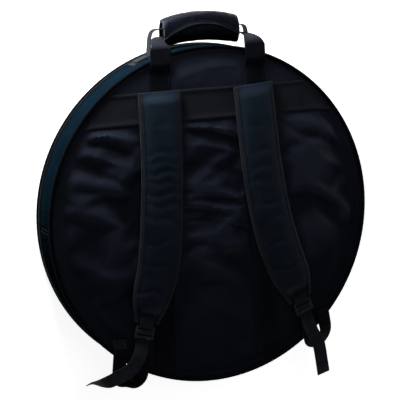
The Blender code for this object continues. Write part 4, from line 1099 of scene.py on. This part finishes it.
add_back_cover()
add_front_cover()
add_pads()
add_side_wall()
add_piping("back_corded_edge", "back_piping", BACK_PIPING_HEIGHT, "back_shell")
add_piping("front_corded_edge", "front_piping", PIPING_RADIUS, "front_half")
add_zip_side("front", FRONT_TAPE, FRONT_COIL, "front_half")
add_zip_side("back", BACK_TAPE, BACK_COIL, "back_shell")
add_hinge_cloth()
add_dividers()
for part_name in ("left_zip_slider", "left_zip_pull", "right_zip_slider", "right_zip_pull"):
    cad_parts[part_name].data.materials.clear()
    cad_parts[part_name].data.materials.append(DARK_METAL)


# The band, the handle and its webbing

def add_yoke():
    """Makes the sewn band, raised where the handle webbing runs under it, its ends cut along the rim."""
    middle = leg_x((YOKE_TOP + YOKE_BOTTOM) / 2)
    inner = middle - HANDLE_WEBBING_WIDTH / 2 - 0.002
    outer = middle + HANDLE_WEBBING_WIDTH / 2 + 0.002

    def level(x):
        over = step_up(abs(x), inner - 0.003, inner) * (1 - step_up(abs(x), outer, outer + 0.003))
        return ON_PANEL + (ON_WEBBING - ON_PANEL) * over

    stations = []
    places = spread(-YOKE_HALF, YOKE_HALF, 190)
    for x in places:
        low = level(x)
        top = band_top(x)
        fit = min((top - YOKE_BOTTOM) / 0.030, 1.0)
        wave = 0.00012 * noise.noise(Vector((x * 50, 0, 5)))
        high = low + FABRIC - 0.00015 + wave
        section = [(YOKE_BOTTOM, low), (top, low), (top + 0.0002 * fit, low + 0.0006)]
        for inset, dip in ((0.0006, 0.0), (0.0052, 0.0), (0.0060, 0.00035), (0.014, 0.0003)):
            section.append((top - inset * fit, high - dip))
        for inset, dip in ((0.014, 0.0003), (0.0060, 0.00035), (0.0052, 0.0), (0.0006, 0.0)):
            section.append((YOKE_BOTTOM + inset * fit, high - dip))
        section.append((YOKE_BOTTOM - 0.0002 * fit, low + 0.0006))
        stations.append([Vector((x, y, z)) for y, z in section])
    mesh = drawn(stations)
    rise = Vector((0, 0, 0.00012))
    for from_edge in (0.0030, 0.0048):
        line = []
        edge = []
        for x in places[4:-4]:
            line.append(Vector((x, YOKE_BOTTOM + from_edge, level(x) + FABRIC - 0.0001)))
            if band_top(x) - YOKE_BOTTOM > 0.012:
                edge.append(Vector((x, band_top(x) - from_edge, level(x) + FABRIC - 0.0001)))
        sew(mesh, line, rise)
        sew(mesh, edge, rise)
    for x in YOKE_TACKS:
        top = level(x) + FABRIC - 0.0003
        sew(mesh, [Vector((x, YOKE_BOTTOM + 0.006, top)), Vector((x, band_top(x) - 0.006, top))], rise)
    piece("sewn_band", mesh, (YOKE_NYLON, THREAD), "back_shell", ("yoke_band",))


def leg_path(rows):
    """Reads a smooth ribbon path through rows of a place and a turn: 0 faces up, 1 faces outwards."""
    line = smooth_path(rows, PATH_STEPS)
    last = len(line) - 1
    path = []
    for i, row in enumerate(line):
        turn = min(max(row[3], 0.0), 1.0) * math.pi / 2
        facing = Vector((0, math.sin(turn), math.cos(turn)))
        forward = Vector(line[min(i + 1, last)][:3]) - Vector(line[max(i - 1, 0)][:3])
        path.append((Vector(row[:3]), forward.cross(facing).normalized()))
    return path


def narrowing(wide):
    """Gives how wide a leg is along its length, drawn in towards the grip."""
    return lambda share: wide - (wide - LEG_END_WIDTH) * min(share / LEG_NARROW_SHARE, 1)


def add_handle_webbing(name, side):
    """Makes one length of handle webbing, from low on the panel over the rim to the grip."""
    inner = HANDLE_SPREAD_TOP - HANDLE_WEBBING_WIDTH / 2
    outer = HANDLE_SPREAD_TOP + HANDLE_WEBBING_WIDTH / 2
    level = ON_PANEL + WEBBING / 2
    before_rim = rim_height(outer, PANEL_RADIUS) - 0.003
    past_rim = rim_height(inner, OUTER_RADIUS + PIPING_RADIUS) + 0.003
    bottom = -rim_height(HANDLE_SPREAD_BOTTOM + HANDLE_WEBBING_WIDTH / 2, PANEL_RADIUS) + 0.003
    path = []
    for y in spread(bottom, past_rim, 110):
        rise = step_up(y, before_rim - 0.009, before_rim)
        path.append((Vector((side * leg_x(y), y, level + (OVER_RIM - level) * rise)), Vector((1, 0, 0))))
    sewn = [row for row in path if row[0].y < before_rim - 0.012]
    start = Vector((HANDLE_SPREAD_TOP, past_rim + LEG_GAP, OVER_RIM))
    end = GRIP_CENTRE + Vector((GRIP_HALF + LEG_GAP, -GRIP_ARCH - LEG_APART, 0))
    rows = []
    for row in NEAR_LEG_SHARES:
        x, y, z = (a + (b - a) * share for a, b, share in zip(start, end, row))
        rows.append((side * x, y, z, row[3]))
    stations = tape_stations(path, HANDLE_WEBBING_WIDTH, WEBBING)
    stations += tape_stations(leg_path(rows), narrowing(HANDLE_WEBBING_WIDTH), WEBBING)
    mesh = drawn(stations)
    rise = Vector((0, 0, WEBBING / 2 + 0.0001))
    for aside in (-0.0155, 0.0155):
        sew(mesh, edge_line(sewn, aside), rise)
    x = side * leg_x(bottom)
    left, right = x - BOX_STITCH_HALF, x + BOX_STITCH_HALF
    low, high = bottom + 0.004, bottom + 0.03
    corners = [Vector((x, y, level)) for x, y in ((left, low), (right, low), (right, high), (left, high))]
    box_stitch(mesh, *corners, rise)
    across = ("back_shell", "handle", (0, 0.299, 0.0835), (0, 0.330, 0.0500))
    nodes = (f"panel_webbing_{name}", f"near_leg_{name}")
    piece(f"handle_webbing_{name}", mesh, (WEBBING_TAPE, THREAD), across, nodes)


def add_far_leg(name, side):
    """Makes the leg from the wall's patch to the grip, and the patch that holds it."""
    end = GRIP_CENTRE + Vector((GRIP_HALF + LEG_GAP, LEG_APART - GRIP_ARCH, -FAR_LEG_LOW))
    rows = []
    for degrees in (66.5, 70, 71.75):
        turn = math.radians(degrees)
        rows.append((ON_PATCH * math.cos(turn), ON_PATCH * math.sin(turn), PATCH_MIDDLE, 1))
    lain_x, lain_y = rows[-1][:2]
    for aside, away, rise in FAR_LEG_SHARES:
        x = lain_x + (end.x - lain_x) * aside
        y = lain_y + (end.y - lain_y) * away
        rows.append((x, y, PATCH_MIDDLE + (end.z - PATCH_MIDDLE) * rise, 1))
    rows = [(side * x, y, z, twist) for x, y, z, twist in rows]
    stations = tape_stations(ribbon_path(rows), narrowing(FAR_WEBBING_WIDTH), WEBBING)
    across = ("back_shell", "handle", (0, 0.287, 0.0381), (0, 0.324, 0.0428))
    piece(f"far_handle_leg_{name}", drawn(stations), (WEBBING_TAPE,), across, (f"far_leg_{name}",))
    angle = PATCH_ANGLES[name]
    low, high = PATCH_LEVELS
    bevelled = PATCH_OUTSIDE - 0.0003
    outline = [
        (PATCH_INSIDE, low), (bevelled, low), (PATCH_OUTSIDE, low + 0.0006), (PATCH_OUTSIDE, high - 0.0006),
        (bevelled, high), (PATCH_INSIDE, high),
    ]
    mesh = turned(outline, angle - PATCH_HALF_ANGLE, 2 * PATCH_HALF_ANGLE, 12)
    first, last = angle - PATCH_HALF_ANGLE * 0.86, angle + PATCH_HALF_ANGLE * 0.86
    low, high = low + 0.003, high - 0.003
    ring = ((first, low), (last, low), (last, high), (first, high))
    box_stitch(mesh, *[at_angle(PATCH_OUTSIDE, a, z) for a, z in ring], at_angle(0.0001, angle, 0))
    nodes = (f"handle_patch_{name}",)
    piece(f"handle_patch_cloth_{name}", mesh, (WEBBING_TAPE, THREAD), "back_shell", nodes)


def on_grip(x, turn, size, thick):
    """Gives a place on the grip: x along it, a turn round it, and how far off its size it lies."""
    wide, flat = size
    share = x / WRAP_HALF
    puff = 0.0007 * (1 - share ** 2) + 0.0006 * noise.noise(Vector((x * 45, turn * 1.6, 2)))
    puff -= 0.0010 * abs(share) ** 14
    ridge = 1 - 2.4 * abs(noise.noise(Vector((x * 70, turn * 3.2 + x * 20, 9))))
    puff += 0.00035 * ridge * (1 - abs(share) ** 6)
    crease = 0.0005 * math.exp(-(((abs(x) - 0.058) / 0.002) ** 2))
    puff = min(puff, 0.0012) - crease
    out = (wide + puff + thick) * math.cos(turn) - GRIP_ARCH * (x / GRIP_HALF) ** 2
    return Vector((x, out, (flat + puff + thick) * math.sin(turn))) + GRIP_CENTRE


def wrapped(x, start, end, steps, size, outside, inside):
    """Gives a section of cloth that runs round the grip from one turn to another, out and back."""
    turns = spread(start, end, steps)
    outer = [on_grip(x, turn, size, outside) for turn in turns]
    return outer + [on_grip(x, turn, size, inside) for turn in reversed(turns)]


def add_grip_core():
    """Makes the padded core of the grip."""
    wide, flat = CORE_SIZE
    stations = []
    for k, x in enumerate(spread(-GRIP_HALF, GRIP_HALF, 12)):
        ease = 1 - 0.12 * abs(k / 6 - 1) ** 8
        section = []
        for turn in spread(0.0, math.tau, 28)[:-1]:
            out = wide * ease * math.cos(turn) - GRIP_ARCH * (x / GRIP_HALF) ** 2
            section.append(GRIP_CENTRE + Vector((x, out, flat * ease * math.sin(turn))))
        stations.append(section)
    piece("grip_padding", drawn(stations), (FOAM,), "handle", ("grip_core",))


def add_grip_wrap():
    """Makes the wrap round the core, sewn round each end."""
    start, end = math.radians(-168), math.radians(188)
    places = spread(-WRAP_HALF, WRAP_HALF, 56)
    mesh = drawn([wrapped(x, start, end, 40, WRAP_SIZE, 0.0020, 0.0) for x in places])
    for x in (-0.0665, 0.0665):
        line = [on_grip(x, math.radians(d), WRAP_SIZE, 0.0021) for d in range(-165, 186, 5)]
        for a, b in zip(line, line[1:]):
            lift = a - GRIP_CENTRE - Vector((x, -GRIP_ARCH, 0))
            sew(mesh, [a, b], lift.normalized() * 0.0001, pitch=(b - a).length)
    piece("grip_wrap_cloth", mesh, (GRIP_NYLON, THREAD), "handle", ("grip_wrap",))


def add_flap():
    """Makes the flap that closes over the wrap, and the binding on its arched edge."""
    start = math.radians(-35)
    edge = []
    for x in spread(-WRAP_HALF, WRAP_HALF, 56):
        edge.append((x, math.radians(112 - 34 * (1 - (x / WRAP_HALF) ** 2))))
    mesh = drawn([wrapped(x, start, end, 22, FLAP_SIZE, 0.0013, 0.0001) for x, end in edge])
    for back in (0.09, 0.19):
        line = [on_grip(x, end - back, FLAP_SIZE, 0.0014) for x, end in edge[2:-2]]
        sew(mesh, line, Vector((0, 0.00002, 0.0001)))
    across = ("handle", "flap", (0, 0.3530, 0.0350), (0, 0.3555, 0.0480))
    piece("grip_flap_cloth", mesh, (GRIP_NYLON, THREAD), across, ("grip_flap",))
    binding = ((-0.10, 0.0017), (0.0, 0.0017), (0.02, 0.0012), (0.0, 0.0005), (-0.02, 0.0002))
    stations = [[on_grip(x, end + turn, FLAP_SIZE, thick) for turn, thick in binding] for x, end in edge]
    piece("grip_flap_edge", drawn(stations), (BINDING,), "flap", ())


add_yoke()
for which, way in (("left", -1), ("right", 1)):
    add_handle_webbing(which, way)
    add_far_leg(which, way)
add_grip_core()
add_grip_wrap()
add_flap()


# The shoulder straps and their ends

def strap_rows(side_name):
    """Gives a strap's stations: middle, direction across, width and how far down it is."""
    line = smooth_path(strap_line(side_name), 24)
    rows = []
    last = len(line) - 1
    run = 0.0
    for i, (x, y, wide) in enumerate(line):
        ahead = line[min(i + 1, last)]
        behind = line[max(i - 1, 0)]
        if i:
            run += math.dist(line[i][:2], line[i - 1][:2])
        forward = Vector((ahead[0] - behind[0], ahead[1] - behind[1], 0)).normalized()
        rows.append((Vector((x, y, 0)), Vector((-forward.y, forward.x, 0)), wide, run))
    return rows


def strap_top(side_name, share, run, length):
    """Gives how thick a strap is, across and down it."""
    thick = STRAP_SEAM + (STRAP_THICKNESS - STRAP_SEAM) * step_up(run, 0.0, 0.020)
    thick += (STRAP_END - thick) * step_up(run, length - 0.034, length - 0.0135)
    edge = min(STRAP_EDGE, thick)
    height = edge + (thick - edge) * (1 - abs(share) ** 3.2)
    loose = step_up(run, 0.012, 0.05) * (1 - step_up(run, length - 0.05, length - 0.02))
    for at, slant, deep in CREASES[side_name]:
        off = (run - at - slant * share * 0.035 - 0.004 * math.sin(share * 5 + at * 300)) / 0.0042
        height -= deep * math.exp(-off * off) * (1 - 0.5 * share * share) * loose
        off = (run - at - 0.0075 - slant * share * 0.035) / 0.005
        height += 0.45 * deep * math.exp(-off * off) * (1 - share * share) * loose
    height += 0.0006 * noise.noise(Vector((share * 2.2, run * 26, 1.0))) * loose * (1 - share ** 4)
    return height


def pad_section(side_name, half, run, length):
    """Gives a strap's section: its flat underside and its crowned face."""
    section = [(x, 0.0) for x in spread(-half, half, 8)]
    for k in range(25):
        share = 1 - k / 12
        section.append((half * share, strap_top(side_name, share, run, length)))
    return section


def tape_section(side_name, way, half, run, length):
    """Gives the section of the tape over a strap's edge, and where its seam lies."""
    upper = []
    lower = []
    for k, x in enumerate(spread(half - BINDING_LAP, half, 5)):
        z = strap_top(side_name, way * x / half, run, length)
        upper.append((x, z + 0.0009 - 0.0004 * (k == 0)))
        lower.append((x, z + 0.0001))
    section = upper + [(half + 0.0009, upper[-1][1] - 0.0012), (half + 0.0011, 0.0024)]
    section += [(half + 0.0009, 0.0004), (half + 0.0001, 0.0002), (half + 0.0001, 0.0040)]
    seam = half - BINDING_LAP + 0.0014
    return section + lower[:-1][::-1], (seam, strap_top(side_name, way * seam / half, run, length) + 0.0008)


def add_strap(side_name):
    """Makes one padded shoulder strap and the tape bound over both its edges."""
    rows = strap_rows(side_name)
    length = rows[-1][3]
    side = STRAPS[side_name][0]
    pad = []
    tapes = {"inner": [], "outer": []}
    seams = {"inner": [], "outer": []}
    for middle, across, wide, run in rows:
        half = wide / 2 - 0.0013
        level = middle + Vector((0, 0, ON_YOKE))
        section = pad_section(side_name, half, run, length)
        pad.append([level + across * x + Vector((0, 0, z)) for x, z in section])
        for edge, way in (("outer", side), ("inner", -side)):
            section, seam = tape_section(side_name, way, half, run, length)
            tapes[edge].append([level + across * x * way + Vector((0, 0, z)) for x, z in section])
            seams[edge].append(level + across * seam[0] * way + Vector((0, 0, seam[1])))
    body = f"strap_{side_name}"
    nodes = (f"shoulder_strap_{side_name}",)
    made = piece(f"padded_strap_{side_name}", drawn(pad), (STRAP_NYLON,), body, nodes)
    # Painted light: the strap lighter towards its top, where more light falls on it.
    paint_light(made, lambda place: 0.34 * step_up(place.y, -0.12, 0.24) - 0.16)
    for edge, stations in tapes.items():
        mesh = drawn(stations)
        sew(mesh, seams[edge][2:-2], Vector((0, 0, 0.00022)))
        node = f"strap_binding_{edge}_{side_name}"
        piece(f"strap_tape_{edge}_{side_name}", mesh, (BINDING, THREAD), body, (node,))
    end = rows[-1][0]
    coarse = smooth_path(strap_line(side_name), 4)
    forward = Vector((coarse[-1][0] - coarse[-2][0], coarse[-1][1] - coarse[-2][1], 0)).normalized()
    return end, forward


def end_frame(end, forward):
    """Places the frame of a strap's end: X along the strap, Y up, Z across it, at the top bar."""
    up = Vector((0, 0, 1))
    place = end + forward * END_LOOP_LENGTH + Vector((0, 0, BUCKLE_HEIGHT))
    return stand_at((forward, up, forward.cross(up)), place)


def add_end_loop(side_name, placed):
    """Makes the webbing loop at a strap's end, folded round the buckle's top bar and tacked down."""
    across = placed.to_3x3() @ Vector((0, 0, 1))
    rise = 0.0032
    turns = [(-0.0168, rise), (-0.012, rise), (-0.006, rise), (0.0, rise - 0.0001)]
    for degrees in (70, 45, 15, -15, -45, -70):
        a = math.radians(degrees)
        turns.append((0.0010 + 0.0020 * math.cos(a), rise * math.sin(a)))
    turns += [(0.0, -rise), (-0.003, -rise), (-0.0055, -rise)]
    path = [(placed @ Vector((x, y, 0)), across) for x, y in turns]
    mesh = drawn(tape_stations(path, STRAP_WEBBING_WIDTH, WEBBING * 0.9))
    up = Vector((0, 0, 0.0008))
    for x in (-0.0150, -0.0136, -0.0088, -0.0074):
        line = [placed @ Vector((x, rise, z)) for z in (-0.011, 0.011)]
        sew(mesh, line, up, pitch=0.0018, length=0.0015, size=0.0004)
    piece(
        f"strap_end_webbing_{side_name}", mesh, (TAIL_TAPE, THREAD), f"strap_{side_name}",
        (f"strap_end_loop_{side_name}",),
    )


def in_order(mesh):
    """Builds a mesh again with its parts in the order of their places, and its quads split as before."""
    points = sorted(mesh.verts, key=lambda v: tuple(round(c, 7) for c in v.co))
    ranks = {v: rank for rank, v in enumerate(points)}
    faces = []
    for face in mesh.faces:
        corners = [ranks[v] for v in face.verts]
        first = corners.index(min(corners[::2] if len(corners) == 4 else corners))
        faces.append(corners[first:] + corners[:first])
    made = bmesh.new()
    verts = [made.verts.new(v.co) for v in points]
    for corners in sorted(faces):
        made.faces.new([verts[k] for k in corners])
    mesh.free()
    return made


def add_buckle(side_name, placed):
    """Makes the ladder lock: two rails and three bars, with soft moulded edges."""
    slot = STRAP_WEBBING_WIDTH / 2 + BUCKLE_SIDE_ROOM
    across = (-slot - BUCKLE_RAIL, -slot, slot, slot + BUCKLE_RAIL)
    mesh = bmesh.new()
    half = BUCKLE_THICKNESS / 2
    rows = [[mesh.verts.new((x, -half, z)) for z in across] for x in BUCKLE_STOPS]
    faces = []
    for i in range(len(rows) - 1):
        for j in range(len(across) - 1):
            if i % 2 == 1 and j == 1:
                continue
            faces.append(mesh.faces.new((rows[i][j], rows[i][j + 1], rows[i + 1][j + 1], rows[i + 1][j])))
    raised = bmesh.ops.extrude_face_region(mesh, geom=faces)["geom"]
    moved = [v for v in raised if isinstance(v, bmesh.types.BMVert)]
    bmesh.ops.translate(mesh, verts=moved, vec=(0, BUCKLE_THICKNESS, 0))
    bmesh.ops.recalc_face_normals(mesh, faces=mesh.faces)
    sharp = [e for e in mesh.edges if len(e.link_faces) == 2 and e.calc_face_angle(0) > 0.5]
    bmesh.ops.bevel(mesh, geom=sharp, offset=0.0008, segments=3, profile=0.5, affect="EDGES", material=-1)
    bmesh.ops.transform(mesh, matrix=placed, verts=mesh.verts)
    bmesh.ops.recalc_face_normals(mesh, faces=mesh.faces)
    piece(
        f"ladder_lock_moulding_{side_name}", in_order(mesh), (LOCK_PLASTIC,), f"buckle_{side_name}",
        (f"ladder_lock_{side_name}",),
    )


def rim_angle(x):
    """Gives the angle of the place on the lower rim that lies at x."""
    return math.atan2(-rim_height(x, OUTER_RADIUS), x)


def rim_rows(strap_x, rows, asides, reach, drop, level):
    """Turns rows of shares into places by the rim, each with its twist."""
    start, end = (rim_angle(strap_x + math.copysign(aside, strap_x)) for aside in asides)
    places = []
    for turn, out, down, twist in rows:
        angle = start + (end - start) * turn
        radius = OUTER_RADIUS + reach * out
        places.append((radius * math.cos(angle), radius * math.sin(angle), level - drop * down, twist))
    return places


def along_buckle(placed, along, level):
    """Gives the place that far down the strap from the buckle's top bar, at a level."""
    forward = placed.to_3x3() @ Vector((1, 0, 0))
    return Vector((placed.translation.x, placed.translation.y, level)) + forward * along


def add_lower_webbing(side_name, placed, strap_x):
    """Makes the webbing from its anchor on the panel, round beyond the rim, to under the buckle."""
    (inset, level), asides, reach, drop, shares = LOOPS[side_name]
    angle = rim_angle(strap_x + math.copysign(asides[0], strap_x))
    out = OUTER_RADIUS - inset
    past_buckle = BUCKLE_STOPS[5] + BUCKLE_SIZES[4]
    rows = [(out * math.cos(angle), out * math.sin(angle), level, 0)]
    rows += rim_rows(strap_x, shares, asides, reach, drop, OVER_RIM)
    for along in (past_buckle, BUCKLE_STOPS[2] - GAP - WEBBING):
        rows.append((*along_buckle(placed, along, LOAD_LAYER), 0))
    path = ribbon_path(rows)
    mesh = drawn(tape_stations(path, STRAP_WEBBING_WIDTH, WEBBING))
    place, side = path[0]
    along = (path[6][0] - place).normalized()
    rise = Vector((0, 0, WEBBING / 2 + 0.0001))
    a, b = place + along * 0.002 - side * 0.010, place + along * 0.002 + side * 0.010
    box_stitch(mesh, a, b, b + along * 0.014, a + along * 0.014, rise)
    end = along_buckle(placed, past_buckle, 0)
    across = ("back_shell", f"strap_{side_name}", tuple(end - Vector(PAY_OUT[side_name])), tuple(end))
    nodes = (f"lower_webbing_{side_name}",)
    piece(f"adjusting_webbing_{side_name}", mesh, (WEBBING_TAPE, THREAD), across, nodes)


def add_tail(side_name, placed, strap_x):
    """Makes the webbing over the buckle's middle bar and its free tail, hemmed at its end."""
    asides, reach, drop, shares = TAILS[side_name]
    across = placed.to_3x3() @ Vector((0, 0, 1))
    before = BUCKLE_STOPS[2] - GAP - WEBBING / 2
    after = BUCKLE_STOPS[3] + GAP + WEBBING / 2
    top = BUCKLE_HEIGHT + BUCKLE_THICKNESS / 2 + GAP + WEBBING / 2
    low = LOAD_LAYER + WEBBING / 2 + GAP
    turns = [
        (before, low), (before, BUCKLE_HEIGHT), (before, top - 0.0008), (before + 0.0008, top),
        ((before + after) / 2, top + 0.0001), (after - 0.0008, top), (after, top - 0.0008),
        (after, BUCKLE_HEIGHT), (after + 0.0002, TAIL_LAYER + 0.0009), (after + 0.0014, TAIL_LAYER),
    ]
    path = [(along_buckle(placed, along, level), across) for along, level in turns]
    rows = [(*along_buckle(placed, BUCKLE_STOPS[5], TAIL_LAYER), 0)]
    free = ribbon_path(rows + rim_rows(strap_x, shares, asides, reach, drop, TAIL_OVER_RIM))
    mesh = drawn(tape_stations(path + free, STRAP_WEBBING_WIDTH, WEBBING))
    folded = [(place + Vector((0, 0, WEBBING * 0.75)), side) for place, side in free[-9:]]
    join(mesh, drawn(tape_stations(folded, STRAP_WEBBING_WIDTH * 0.98, WEBBING * 0.6)))
    for place, side in (folded[1], folded[3]):
        line = [place - side * 0.011, place + side * 0.011]
        sew(mesh, line, Vector((0, 0, 0.0005)), pitch=0.002, length=0.0016)
    nodes = (f"tail_webbing_{side_name}",)
    piece(f"free_tail_{side_name}", mesh, (TAIL_TAPE, THREAD), f"buckle_{side_name}", nodes)


for which in ("left", "right"):
    strap_end, heading = add_strap(which)
    end_place = end_frame(strap_end, heading)
    add_end_loop(which, end_place)
    add_buckle(which, end_place)
    add_lower_webbing(which, end_place, strap_end.x)
    add_tail(which, end_place, strap_end.x)
